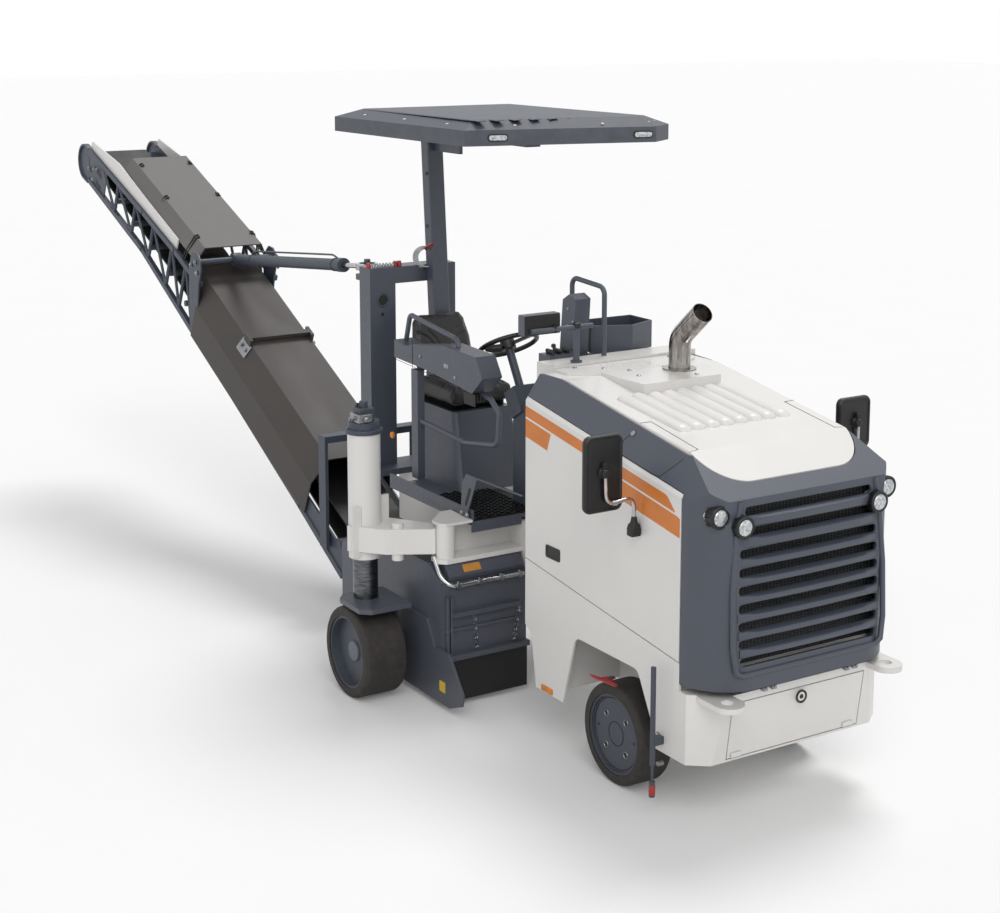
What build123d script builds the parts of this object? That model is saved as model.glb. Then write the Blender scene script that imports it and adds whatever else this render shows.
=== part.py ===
"""A small four-wheeled cold planer with a rear loading conveyor.

Frame: millimetres, +X forward, +Y left, +Z up. Sizes below are measured from the ground
under the middle of the front axle. Each piece is saved moved by saved_shift, which puts the
origin on the ground under the middle of the machine's bounding box. The machine stands on
its wheels with the drum lifted clear.
"""
import os
from math import atan2, cos, degrees, hypot, pi, radians, sin

from build123d import *

os.makedirs("parts", exist_ok=True)

saved_shift = (3599.58, 149.25, 0.0)     # from the front axle to the middle of the box

# ---- Driving dimensions: running gear ---------------------------------------------------
wheelbase = 1877.0
tyre_r = 280.0
rim_r = 222.0
rim_wall = 14.0
tyre_shoulder = 26.0
front_tyre_w = 200.0
rear_tyre_w = 280.0
front_wheel_y = 516.0           # middle of a front tyre, from the centre plane
rear_right_y = -1120.0          # the right rear wheel stands out on its arm
rear_left_y = 502.0
kingpin_y = 350.0
spindle_r = 25.0
running_gap = 1.5               # round a pin, spindle or tube that turns or slides

# ---- Driving dimensions: body -----------------------------------------------------------
body_half = 642.0
panel_t = 14.0
seam = 6.0                      # gap between two panels of the hood
body_rear_x = -830.0
cowl_x = 606.0                  # the white side panels end here and the dark nose begins
nose_low_x = 867.0
nose_top_x = 822.0
nose_top_z = 1752.0
nose_low_z = 772.0
nose_corner_r = 280.0
roof_z = 2110.0
roof_break_x = -580.0           # the roof is level behind this and slopes down ahead of it
roof_front_x = 509.0
roof_front_z = 1940.0
shoulder_rear_z = 1970.0        # where side panel and sloping shoulder meet, at body_rear_x
shoulder_fall = 0.163           # fall of that line for each millimetre forward
shoulder_rise = 1.5             # rise of the shoulder for each millimetre inward
roof_half = 522.0
roof_panel_x = 725.0            # front end of the white roof panel
roof_corner_r = 240.0
plate_top_z = 2125.0            # the raised deck round the exhaust
seam_rear_z = 1058.0            # the line between side panel and fender
seam_front_z = 885.0
hood_hinge_x = 867.0
hood_hinge_z = 752.0

# ---- Driving dimensions: rear frame, legs and drum --------------------------------------
spine_right_y = -268.0
spine_left_y = 255.0
spine_low_z = 700.0
spine_top_z = 1060.0
spine_rear_x = -3000.0
column_r = 99.0
column_bore_r = 80.0
column_low_z = 867.0
column_top_z = 1634.0
leg_r = 75.0
leg_top_z = 1350.0
swing_hinge = (-1500.0, -777.5)
drum_r = 240.0
pick_r = 296.0
drum_axle_z = 358.0
drum_right_y = -842.0
drum_left_y = -290.0
housing_right_y = -862.0
housing_front_x = -1410.0
housing_rear_x = -2700.0
wall_t = 12.0
floor_z = 1105.0
floor_t = 24.0
floor_front_x = -1450.0
floor_rear_x = -2480.0
floor_half = 620.0

# ---- Driving dimensions: operator's place -----------------------------------------------
seat_y = -110.0
seat_x = -2700.0                # rear foot of the seat back
seat_top_z = 2150.0
canopy_low_z = 3330.0
canopy_h = 150.0
canopy_t = 20.0
gantry_x = (-3080.0, -2930.0)
gantry_top_z = 2440.0

# ---- Driving dimensions: conveyor -------------------------------------------------------
# u runs up the belt from the lift pivot towards the head, w stands square to the belt
slew_x = -3300.0
conveyor_y = -335.0
truss_half = 335.0
truss_t = 36.0
lift_pivot_z = 540.0
incline = 25.6                  # degrees
belt_w = 440.0
belt_t = 14.0
pulley_r = 75.0
foot_pulley = (-130.0, 20.0)    # u, w
belt_kink = (3300.0, 110.0)
head_pulley = (5180.0, 0.0)
head_r = 150.0                  # rounded end of the side frames
hanger = (2694.0, 532.0)        # u, w of the hoist's pin
hoist_eye_z = 2400.0
barrel_r = 42.0
hoist_rod_r = 19.0

rear_axle_x = -wheelbase
rear_columns = (rear_right_y, rear_left_y)
front_sides = (("right", -1.0), ("left", 1.0))


def block(x, y, z, mode=Mode.ADD):
    """A box from (low, high) along each axis, put into the open part."""
    middle = tuple((low + high) / 2 for low, high in (x, y, z))
    with Locations(middle):
        Box(x[1] - x[0], y[1] - y[0], z[1] - z[0], mode=mode)


def mirrored_blocks(x, y, z, mode=Mode.ADD):
    """The same box on both sides of the centre plane; y is given for the left side."""
    block(x, y, z, mode)
    block(x, (-y[1], -y[0]), z, mode)


def bar(start, end, radius, mode=Mode.ADD):
    """A round bar between two points, put into the open part."""
    run = Vector(*end) - Vector(*start)
    with Locations(Plane(origin=start, z_dir=run.normalized()).location):
        Cylinder(radius, run.length, align=(Align.CENTER, Align.CENTER, Align.MIN), mode=mode)


def side_plane(y):
    """A side-view plane at y: its own axes are X and Z, and it extrudes towards the right."""
    return Plane.XZ.offset(-y)


def across(x, z):
    """A plane whose own axes are Y and height, for turning a profile about a cross axle."""
    return Plane(origin=(x, 0, z), x_dir=(0, 1, 0), z_dir=(1, 0, 0))


def rail(points, radius, bend):
    """A bent tube along points as a finished part, for adding to the open one."""
    with BuildPart(mode=Mode.PRIVATE) as tube:
        with BuildLine(mode=Mode.PRIVATE) as path:
            FilletPolyline(*points, radius=bend)
        with BuildSketch(Plane(origin=path.line @ 0, z_dir=path.line % 0), mode=Mode.PRIVATE) as ring:
            Circle(radius)
        sweep(ring.sketch, path=path.line)
    return tube.part


def keep(piece, name):
    """Label a finished piece and write it."""
    piece.part.label = name
    export_step(piece.part.moved(Location(saved_shift)), f"parts/{name}.step")


# ======== Wheels ========================================================================
# columns: name, x, y of the middle, tyre width, depth of the dish, +1 where outside is left
wheels = (
    ("front_right", 0.0, -front_wheel_y, front_tyre_w, 24.0, -1.0),
    ("front_left", 0.0, front_wheel_y, front_tyre_w, 24.0, 1.0),
    ("rear_right", rear_axle_x, rear_right_y, rear_tyre_w, 60.0, -1.0),
    ("rear_left", rear_axle_x, rear_left_y, rear_tyre_w, 60.0, 1.0),
)
dish_t = 18.0
hub_r = 62.0
bead_lip = 8.0                  # the rim stands in from the tyre's side by this much
for name, x, y, width, dish, out in wheels:
    axle = Axis((x, 0, tyre_r), (0, 1, 0))
    with BuildPart() as tyre:
        with BuildSketch(across(x, tyre_r)):
            with Locations((y, rim_r)):
                Rectangle(width, tyre_r - rim_r, align=(Align.CENTER, Align.MIN))
            fillet(vertices().sort_by(Axis.Y)[-2:], tyre_shoulder)
        revolve(axis=axle)
    keep(tyre, f"{name}_tyre")

    dish_face = y + out * (width / 2 - dish)
    inner_end = y - out * (width / 2 - 70.0)
    with BuildPart() as rim:
        with BuildSketch(across(x, tyre_r)):
            with Locations((y, rim_r)):
                Rectangle(width - 2 * bead_lip, rim_wall, align=(Align.CENTER, Align.MAX))
            with Locations((dish_face - out * dish_t / 2, 0)):
                Rectangle(dish_t, rim_r - rim_wall / 2, align=(Align.CENTER, Align.MIN))
            with Locations(((dish_face + inner_end) / 2, 0)):
                Rectangle(abs(dish_face - inner_end), hub_r, align=(Align.CENTER, Align.MIN))
        revolve(axis=axle)
        bar(
            (x, inner_end - out, tyre_r),
            (x, dish_face - out * dish_t, tyre_r),
            spindle_r + running_gap,
            Mode.SUBTRACT,
        )
    keep(rim, f"{name}_rim")

# ======== Front axle and knuckles =======================================================
beam_z = (236.0, 324.0)
ear_t = 28.0
ear_gap = 10.0
boss_r = 48.0
kingpin_r = 20.0
plate_y = (kingpin_y + 56.0, kingpin_y + 80.0)
with BuildPart() as front_axle_beam:
    block((-48, 48), (-kingpin_y, kingpin_y), beam_z)
    block((-90, 90), (-80, 80), (beam_z[0] - 20, 360))
    for _, side in front_sides:
        bar((0, side * kingpin_y, beam_z[0]), (0, side * kingpin_y, beam_z[1]), boss_r)
    for _, side in front_sides:
        bar(
            (0, side * kingpin_y, beam_z[0] - 1),
            (0, side * kingpin_y, beam_z[1] + 1),
            kingpin_r + running_gap,
            Mode.SUBTRACT,
        )
keep(front_axle_beam, "front_axle_beam")

ear_low = beam_z[0] - ear_gap - ear_t
ear_high = beam_z[1] + ear_gap + ear_t
for name, side in front_sides:
    with BuildPart() as knuckle:
        for low in (ear_low, beam_z[1] + ear_gap):
            bar((0, side * kingpin_y, low), (0, side * kingpin_y, low + ear_t), boss_r)
            near, far = sorted((side * kingpin_y, side * plate_y[1]))
            block((-46, 46), (near, far), (low, low + ear_t))
        near, far = sorted((side * plate_y[0], side * plate_y[1]))
        block((-58, 58), (near, far), (ear_low, ear_high))
        bar((0, side * kingpin_y, ear_low), (0, side * kingpin_y, ear_high), kingpin_r)
        tip = front_wheel_y + front_tyre_w / 2 - 24.0 - dish_t - 4.0
        bar((0, side * plate_y[0], tyre_r), (0, side * tip, tyre_r), spindle_r)
    keep(knuckle, f"knuckle_{name}")

# ======== Front chassis, engine, fenders, bumper ========================================
keel_half = 225.0
deck_z = (770.0, 800.0)
tail_x = (-700.0, -480.0)
inner_half = body_half - panel_t
with BuildPart() as chassis_front:
    block((body_rear_x, 600), (-keel_half, keel_half), (360, deck_z[0]))
    block((body_rear_x, 600), (-inner_half, inner_half), deck_z)
    block(tail_x, (-inner_half, inner_half), (372, deck_z[0]))
    block((400, 600), (-inner_half, inner_half), (372, 400))
keep(chassis_front, "chassis_front")

with BuildPart() as engine_block:
    block((-620, 420), (-300, 300), (deck_z[1], 1640))
keep(engine_block, "engine_block")

arch = ((-445, 300), (-322, 735), (252, 735), (418, 420), (418, 300))
with BuildPart() as fenders:
    for y in (-body_half + panel_t, body_half):
        with BuildSketch(side_plane(y)):
            with BuildLine():
                Polyline(
                    (body_rear_x, seam_rear_z - seam),
                    (body_rear_x, 662),
                    (-765, 620),
                    (-714, 318),
                    (-430, 318),
                    (418, 360),
                    (cowl_x, 360),
                    (cowl_x, seam_front_z - seam),
                    close=True,
                )
            make_face()
        extrude(amount=panel_t)
        with BuildSketch(side_plane(y)):
            with BuildLine():
                Polyline(*arch, close=True)
            make_face()
            fillet(vertices().group_by(Axis.Y)[-1], 60)
        extrude(amount=panel_t, mode=Mode.SUBTRACT)
keep(fenders, "fenders")

bumper_top_z = 735.0
bumper_front_x = 800.0
bumper_half = 470.0
door_low_z = 372.0
door_high_z = 690.0
door_t = 14.0
eye_reach = 145.0               # half the length of a towing lug, which ends this far ahead
tow_eye_r = 34.0
door_half = bumper_half - 24.0
door_front_low_x = 746.0
with BuildPart() as bumper:
    with BuildSketch():
        with BuildLine():
            Polyline(
                (cowl_x, -body_half),
                (cowl_x + 60, -body_half),
                (bumper_front_x, -bumper_half),
                (bumper_front_x, bumper_half),
                (cowl_x + 60, body_half),
                (cowl_x, body_half),
                close=True,
            )
        make_face()
    extrude(amount=bumper_top_z)
    with BuildSketch(side_plane(0)):
        with BuildLine():
            Polyline(
                (cowl_x, 360),
                (door_front_low_x, 360),
                (bumper_front_x, bumper_top_z),
                (cowl_x, bumper_top_z),
                close=True,
            )
        make_face()
    extrude(amount=2 * body_half, both=True, mode=Mode.INTERSECT)
    # the locker behind the door
    block((cowl_x + 30, bumper_front_x + 50), (-door_half, door_half), (door_low_z, door_high_z),
          Mode.SUBTRACT)
    # towing eyes: flat lugs with an upright hole
    for side in (-1, 1):
        with BuildSketch(Plane.XY.offset(bumper_top_z - 30)):
            with Locations((bumper_front_x + 5, side * 532)):
                SlotOverall(2 * eye_reach, 160)
        extrude(amount=30)
        block((cowl_x + 40, bumper_front_x - 60), (side * 532 - 42, side * 532 + 42),
              (bumper_top_z - 30, bumper_top_z))
    for side in (-1, 1):
        with BuildSketch(Plane.XY.offset(bumper_top_z - 31)):
            with Locations((bumper_front_x + 58, side * 532)):
                Circle(tow_eye_r)
        extrude(amount=32, mode=Mode.SUBTRACT)
keep(bumper, "bumper")

lean = (bumper_front_x - door_front_low_x) / (bumper_top_z - 360)


def door_front(z):
    """The bumper's leaning front face at height z."""
    return door_front_low_x + lean * (z - 360)


door_gap = 6.0
with BuildPart() as bumper_door:
    with BuildSketch(side_plane(0)):
        low, high = door_low_z + door_gap, door_high_z - door_gap
        with BuildLine():
            Polyline(
                (door_front(low) - door_t, low),
                (door_front(low), low),
                (door_front(high), high),
                (door_front(high) - door_t, high),
                close=True,
            )
        make_face()
    extrude(amount=door_half - door_gap, both=True)
    # the round reversing camera's place, a plain boss
    with Locations(Plane((door_front(640), 0, 640), z_dir=(1, 0, 0)).location):
        Cylinder(34, 40)
keep(bumper_door, "bumper_door")

# ======== Hood ==========================================================================
def shoulder_plane(side, inset):
    """The sloping plane between side panel and roof, on one side, moved inward by inset."""
    normal = Vector(shoulder_fall, side * shoulder_rise, 1).normalized()
    origin = Vector(body_rear_x, side * body_half, shoulder_rear_z) - normal * inset
    return Plane(origin=origin, z_dir=normal)


def hood_form(inset, rear, low):
    """The hood's whole volume, shrunk by inset, from rear and down to low."""
    with BuildPart(mode=Mode.PRIVATE) as form:
        with BuildSketch(side_plane(0)):
            with BuildLine():
                Polyline(
                    (rear, low),
                    (rear, roof_z - inset),
                    (roof_break_x, roof_z - inset),
                    (roof_front_x, roof_front_z - inset),
                    (nose_top_x - inset, nose_top_z - inset),
                    (nose_low_x - inset, low),
                    close=True,
                )
            make_face()
        extrude(amount=body_half - inset, both=True)
        with BuildSketch():
            with Locations((nose_low_x - inset, 0)):
                Rectangle(2400, 2 * (body_half - inset), align=(Align.MAX, Align.CENTER))
            fillet(vertices().sort_by(Axis.X)[-2:], nose_corner_r - inset)
        extrude(amount=2500, mode=Mode.INTERSECT)
        for side in (-1, 1):
            split(bisect_by=shoulder_plane(side, inset), keep=Keep.BOTTOM)
    return form.part


outer_hood = hood_form(0.0, body_rear_x, nose_low_z)
hood_void = hood_form(panel_t, body_rear_x - 60, nose_low_z - 60)
panel_in = body_half - panel_t

with BuildPart() as side_panels:
    add(outer_hood)
    add(hood_void, mode=Mode.SUBTRACT)
    block((body_rear_x - 10, cowl_x - seam), (-700, 700), (800, 2400), Mode.INTERSECT)
    block((body_rear_x - 20, cowl_x), (-panel_in, panel_in), (700, 2400), Mode.SUBTRACT)
    with BuildSketch(side_plane(body_half + 50)):
        with BuildLine():
            Polyline(
                (body_rear_x - 1, 700),
                (body_rear_x - 1, seam_rear_z),
                (cowl_x + 1, seam_front_z),
                (cowl_x + 1, 700),
                close=True,
            )
        make_face()
    extrude(amount=2 * body_half + 100, mode=Mode.SUBTRACT)
keep(side_panels, "side_panels")


def roof_region(grow):
    """The plan of the white roof panel, grown by grow, as a tall block."""
    with BuildPart(mode=Mode.PRIVATE) as region:
        with BuildSketch(Plane.XY.offset(1600)):
            with Locations((roof_panel_x + grow, 0)):
                Rectangle(1600, 2 * (roof_half + grow), align=(Align.MAX, Align.CENTER))
            fillet(vertices().sort_by(Axis.X)[-2:], roof_corner_r + grow)
        extrude(amount=700)
    return region.part


# plan of the raised deck, right half from the rear; mirrored to the left
deck_right = ((body_rear_x, -450), (-700, -450), (-606, -285), (-230, -265))
with BuildPart() as hood_top:
    add(outer_hood)
    with BuildSketch(Plane.XY.offset(1950)):
        with BuildLine():
            Polyline(*deck_right, *[(x, -y) for x, y in reversed(deck_right)], close=True)
        make_face()
    extrude(amount=plate_top_z - 1950)
    add(hood_void, mode=Mode.SUBTRACT)
    add(roof_region(0.0), mode=Mode.INTERSECT)
keep(hood_top, "hood_top")

slot_h = 46.0
# columns: height of the slot's middle, half its length
grille_slots = (
    (1690.0, 418.0), (1585.0, 440.0), (1477.0, 452.0), (1382.0, 458.0), (1290.0, 462.0),
    (1199.0, 464.0), (1107.0, 464.0), (1016.0, 460.0), (924.0, 452.0),
)
# columns: lamp x, y, z of the lens middle, on the left; mirrored to the right
lamps = ((792.0, 556.0, 1674.0), (850.0, 446.0, 1622.0))
lamp_r = 48.0
with BuildPart() as cowl:
    add(outer_hood)
    add(hood_void, mode=Mode.SUBTRACT)
    add(roof_region(seam), mode=Mode.SUBTRACT)
    mirrored_blocks((body_rear_x - 10, cowl_x), (panel_in - 3, 700), (700, 2400), Mode.SUBTRACT)
    with BuildSketch(Plane.YZ.offset(720)):
        for z, half in grille_slots:
            with Locations((0, z)):
                RectangleRounded(2 * half, slot_h, slot_h * 0.42)
    extrude(amount=220, mode=Mode.SUBTRACT)
    for x, y, z in lamps:
        for side in (-1, 1):
            bar((x - 70, side * y, z), (x + 90, side * y, z), lamp_r, Mode.SUBTRACT)
keep(cowl, "cowl")

with BuildPart() as headlights:
    for x, y, z in lamps:
        for side in (-1, 1):
            bar((x - 70, side * y, z), (x, side * y, z), lamp_r)
keep(headlights, "headlights")

with BuildPart() as grille_mesh:
    block((762, 768), (-500, 500), (880, 1722))
    add(hood_void, mode=Mode.INTERSECT)
keep(grille_mesh, "grille_mesh")

exhaust_x, exhaust_y, exhaust_r = -470.0, 160.0, 62.0
elbow_z = plate_top_z + 180.0
outlet = Vector(exhaust_x + 200, exhaust_y, plate_top_z + 350)
with BuildPart() as exhaust_pipe:
    add(
        rail(
            ((exhaust_x, exhaust_y, plate_top_z), (exhaust_x, exhaust_y, elbow_z), tuple(outlet)),
            exhaust_r,
            110,
        )
    )
    bar((exhaust_x, exhaust_y, plate_top_z), (exhaust_x, exhaust_y, plate_top_z + 8), 96)
    back = (Vector(exhaust_x, exhaust_y, elbow_z) - outlet).normalized()
    bar(tuple(outlet - back * 5), tuple(outlet + back * 120), exhaust_r - 4, Mode.SUBTRACT)
keep(exhaust_pipe, "exhaust_pipe")

# columns: side, plate height, z of its middle
mirror_table = ((-1.0, 405.0, 1810.0), (1.0, 300.0, 1862.0))
mirror_x, mirror_y = 194.0, 850.0
mirror_w, mirror_t = 235.0, 42.0
foot_x, foot_z = 249.0, 1560.0
with BuildPart() as mirrors:
    for side, plate_h, z in mirror_table:
        near, far = sorted((side * (mirror_y - mirror_w / 2), side * (mirror_y + mirror_w / 2)))
        block((mirror_x, mirror_x + mirror_t), (near, far), (z - plate_h / 2, z + plate_h / 2))
        add(
            rail(
                (
                    (foot_x, side * (body_half + 32), foot_z - 40),
                    (foot_x, side * (body_half + 32), foot_z + 110),
                    (foot_x, side * mirror_y, foot_z + 110),
                    (mirror_x + mirror_t / 2, side * mirror_y, z - 60),
                ),
                11,
                24,
            )
        )
        near, far = sorted((side * body_half, side * (body_half + 62)))
        block((foot_x - 28, foot_x + 28), (near, far), (foot_z - 90, foot_z - 20))
keep(mirrors, "mirrors")

# ======== Rear frame ====================================================================
hinge_x, hinge_y = swing_hinge
with BuildPart() as chassis_rear:
    block((spine_rear_x, body_rear_x), (spine_right_y, spine_left_y), (spine_low_z, spine_top_z))
    # right cross beam: a web set back between two flanges that carry the arm's hinge
    block((-1660, -1580), (-740, spine_right_y), (900, 1078))
    with BuildSketch(Plane.XY.offset(872)):
        with BuildLine():
            Polyline(
                (-1440, spine_right_y),
                (-1440, -800),
                (-1480, -840),
                (-1560, -840),
                (-1680, -740),
                (-1680, spine_right_y),
                close=True,
            )
        make_face()
    extrude(amount=28)
    with BuildSketch(Plane.XY.offset(1106)):
        with BuildLine():
            Polyline(
                (-1440, -floor_half - 4),
                (-1440, -800),
                (-1480, -835),
                (-1560, -835),
                (-1700, -700),
                (-1700, -floor_half - 4),
                close=True,
            )
        make_face()
    extrude(amount=16)
    block((-1660, -1580), (-740, -floor_half - 6), (1078, 1106))
    # left cross beam and the clamp round the left column
    block((-1700, -1480), (spine_left_y, body_half - 20), (900, 1078))
    block((rear_axle_x - 130, -1700), (spine_left_y, body_half - 20), (900, 1078))
    bar((rear_axle_x, rear_left_y, 880), (rear_axle_x, rear_left_y, 1100), column_r, Mode.SUBTRACT)
keep(chassis_rear, "chassis_rear")

arm_low_z, arm_high_z = 923.0, 1077.0
with BuildPart() as swing_arm:
    with BuildSketch(Plane.XY.offset(arm_low_z)):
        with BuildLine():
            Polyline(
                (hinge_x - 20, hinge_y - 60),
                (hinge_x - 80, hinge_y + 30),
                (rear_axle_x - 40, rear_right_y + 150),
                (rear_axle_x - 120, rear_right_y + 40),
                (rear_axle_x + 20, rear_right_y - 130),
                (rear_axle_x + 210, rear_right_y + 25),
                close=True,
            )
        make_face()
    extrude(amount=arm_high_z - arm_low_z)
    bar((hinge_x, hinge_y, 900), (hinge_x, hinge_y, 1106), 55)
    bar((-1668, -1010, 880), (-1668, -1010, 1110), 36)
    # upright fins against the column
    block((rear_axle_x + 60, rear_axle_x + 78), (rear_right_y - 122, rear_right_y), (885, 1200))
    block((rear_axle_x - 10, rear_axle_x + 10), (rear_right_y + 60, rear_right_y + 160), (900, 1230))
    bar((rear_axle_x, rear_right_y, 800), (rear_axle_x, rear_right_y, 1300), column_r, Mode.SUBTRACT)
keep(swing_arm, "swing_arm")

with BuildPart() as lift_columns:
    for y in rear_columns:
        bar((rear_axle_x, y, column_low_z), (rear_axle_x, y, column_top_z), column_r)
        bar((rear_axle_x, y, column_low_z), (rear_axle_x, y, column_top_z - 12), column_bore_r,
            Mode.SUBTRACT)
        bar((rear_axle_x, y, column_top_z), (rear_axle_x, y, column_top_z + 26), column_r + 12)
        bar((rear_axle_x, y, column_top_z + 26), (rear_axle_x, y, column_top_z + 72), column_r - 6)
        block((rear_axle_x - 45, rear_axle_x + 30), (y - 40, y + 40),
              (column_top_z + 72, column_top_z + 150))
        bar((rear_axle_x - 8, y, column_top_z + 150), (rear_axle_x - 8, y, column_top_z + 190), 14)
keep(lift_columns, "lift_columns")

crown_z = (tyre_r * 2 + 18.0, tyre_r * 2 + 48.0)
fork_gap = 12.0
fork_t = 30.0
# columns: name, y of the wheel, +1 where the inner side is left
legs = (("right", rear_right_y, 1.0), ("left", rear_left_y, -1.0))
for name, y, inner in legs:
    face = y + inner * (rear_tyre_w / 2 + fork_gap)
    back = face + inner * fork_t
    outer = y - inner * (rear_tyre_w / 2 + 6)
    with BuildPart() as leg:
        bar((rear_axle_x, y, crown_z[0]), (rear_axle_x, y, leg_top_z), leg_r)
        with BuildSketch(Plane.XY.offset(crown_z[0])):
            with BuildLine():
                Polyline(
                    (rear_axle_x - 120, outer + inner * 50),
                    (rear_axle_x - 60, outer),
                    (rear_axle_x + 190, outer),
                    (rear_axle_x + 245, outer + inner * 60),
                    (rear_axle_x + 245, back),
                    (rear_axle_x - 120, back),
                    close=True,
                )
            make_face()
        extrude(amount=crown_z[1] - crown_z[0])
        near, far = sorted((face, back))
        block((rear_axle_x - 80, rear_axle_x + 80), (near, far), (tyre_r - 80, crown_z[0]))
        near, far = sorted((back, back + inner * 34))
        bar((rear_axle_x, near, tyre_r), (rear_axle_x, far, tyre_r), 78)
        tip_y = y - inner * (rear_tyre_w / 2 - 60.0 - dish_t - 4.0)
        bar((rear_axle_x, face, tyre_r), (rear_axle_x, tip_y, tyre_r), spindle_r)
    keep(leg, f"leg_{name}")

# ======== Drum and its housing ==========================================================
housing_outline = (
    (housing_front_x, 330), (housing_front_x, 770), (-1560, 862), (-2250, 862), (housing_rear_x, 700),
    (housing_rear_x, 150), (-2250, 90), (-1600, 90),
)
housing_inner = (
    (-1390, 0), (-1390, 758), (-1565, 862 - wall_t), (-2245, 862 - wall_t),
    (housing_rear_x - 40, 690), (housing_rear_x - 40, 0),
)
with BuildPart() as drum_housing:
    with BuildSketch(side_plane(spine_right_y)):
        with BuildLine():
            Polyline(*housing_outline, close=True)
        make_face()
    extrude(amount=spine_right_y - housing_right_y)
    with BuildSketch(side_plane(spine_right_y - wall_t)):
        with BuildLine():
            Polyline(*housing_inner, close=True)
        make_face()
    extrude(amount=spine_right_y - housing_right_y - 2 * wall_t, mode=Mode.SUBTRACT)
    bar((rear_axle_x, spine_right_y + 1, drum_axle_z), (rear_axle_x, spine_right_y - 20, drum_axle_z),
        42, Mode.SUBTRACT)
keep(drum_housing, "drum_housing")

gate_t = 15.0
with BuildPart() as drum_gate:
    block((housing_front_x, housing_front_x + gate_t), (housing_right_y + 4, spine_right_y - 4), (300, 768))
    block((housing_front_x + gate_t, housing_front_x + 60), (housing_right_y + 4, spine_right_y - 4),
          (300, 332))
    block((housing_front_x + gate_t, housing_front_x + 44), (housing_right_y + 60, spine_right_y - 60),
          (560, 588))
keep(drum_gate, "drum_gate")

with BuildPart() as rubber_flap:
    block((housing_front_x + gate_t, housing_front_x + gate_t + 12),
          (housing_right_y + 4, spine_right_y - 4), (36, 300))
keep(rubber_flap, "rubber_flap")

with BuildPart() as valve_box:
    with BuildSketch(side_plane(spine_right_y - 20)):
        with BuildLine():
            Polyline((-1411, 773), (-1402, 806), (-1450, 867), (-1556, 867), close=True)
        make_face()
    extrude(amount=520)
keep(valve_box, "valve_box")

with BuildPart() as side_plate:
    with BuildSketch(side_plane(housing_right_y)):
        with BuildLine():
            Polyline(
                (-2420, 40), (-1290, 40), (-1150, 96), (-1135, 166), (-1300, 372), (-1470, 372),
                (-1560, 520), (-2300, 520), (-2440, 120),
                close=True,
            )
        make_face()
    extrude(amount=16)
keep(side_plate, "side_plate")

pick_rows = 14
picks_per_row = 3
with BuildPart() as milling_drum:
    bar((rear_axle_x, drum_right_y, drum_axle_z), (rear_axle_x, drum_left_y, drum_axle_z), drum_r)
    bar((rear_axle_x, drum_left_y, drum_axle_z), (rear_axle_x, spine_right_y - 4, drum_axle_z), 36)
    pitch = (drum_left_y - drum_right_y - 40) / (pick_rows - 1)
    for row in range(pick_rows):
        y = drum_right_y + 20 + row * pitch
        for start in range(picks_per_row):
            turn = 360 * start / picks_per_row + row * 26
            with Locations(Plane((rear_axle_x, y, drum_axle_z)).location * Rot(0, turn, 0)):
                with Locations((drum_r + (pick_r - drum_r) / 2 - 4, 0, 0)):
                    Box(pick_r - drum_r + 8, 24, 36)
keep(milling_drum, "milling_drum")

# ======== Platform and operator's place =================================================
with BuildPart() as platform_floor:
    block((floor_rear_x, floor_front_x), (-floor_half, floor_half), (floor_z - floor_t, floor_z))
    block((floor_front_x, body_rear_x - 30), (-60, floor_half), (floor_z - floor_t, floor_z))
    block((floor_rear_x, floor_front_x), (-floor_half, -floor_half + 12), (floor_z, floor_z + 70))
    block((floor_front_x - 12, floor_front_x), (-floor_half, spine_right_y - 4), (floor_z - 66, floor_z))
    bar((rear_axle_x, rear_left_y, floor_z - 60), (rear_axle_x, rear_left_y, floor_z + 60),
        column_r + 4, Mode.SUBTRACT)
keep(platform_floor, "platform_floor")

with BuildPart() as entry_step:
    for x in (-1420, -1012):
        block((x, x + 12), (body_half - 48, body_half + 12), (480, floor_z - floor_t))
    for z in (480, 790):
        block((-1420, -1000), (body_half - 90, body_half + 12), (z, z + 24))
    block((-1420, -1000), (spine_left_y, body_half - 90), (790, 814))
keep(entry_step, "entry_step")

wall_x = (body_rear_x - 30, body_rear_x - 8)
cabinet_x = (-1010.0, body_rear_x - 8)
cabinet_top_z = 2140.0
with BuildPart() as rear_bulkhead:
    block(wall_x, (-590, 590), (1078, 1960))
    block(wall_x, (spine_right_y, spine_left_y), (spine_top_z, 1078))
    block(cabinet_x, (-450, 560), (1960, cabinet_top_z))
keep(rear_bulkhead, "rear_bulkhead")

pedestal_top_z = 1600.0
cushion_z = (1640.0, 1760.0)
with BuildPart() as seat_pedestal:
    with BuildSketch(Plane.XY.offset(floor_z)):
        with Locations((seat_x + 380, seat_y)):
            RectangleRounded(620, 520, 40)
    with BuildSketch(Plane.XY.offset(pedestal_top_z)):
        with Locations((seat_x + 290, seat_y)):
            RectangleRounded(500, 430, 40)
    loft()
keep(seat_pedestal, "seat_pedestal")

with BuildPart() as seat_cushion:
    block((seat_x + 20, seat_x + 560), (seat_y - 250, seat_y + 250), cushion_z)
    fillet(edges().filter_by(Axis.Z), 60)
    block((seat_x + 100, seat_x + 480), (seat_y - 150, seat_y + 150), (pedestal_top_z, cushion_z[0]))
keep(seat_cushion, "seat_cushion")

with BuildPart() as seat_back:
    with BuildSketch(side_plane(seat_y + 240)):
        with BuildLine():
            Polyline(
                (seat_x + 110, cushion_z[1] + 4),
                (seat_x + 20, cushion_z[1] + 4),
                (seat_x - 90, seat_top_z),
                (seat_x - 20, seat_top_z),
                close=True,
            )
        make_face()
    extrude(amount=480)
keep(seat_back, "seat_back")

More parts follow.
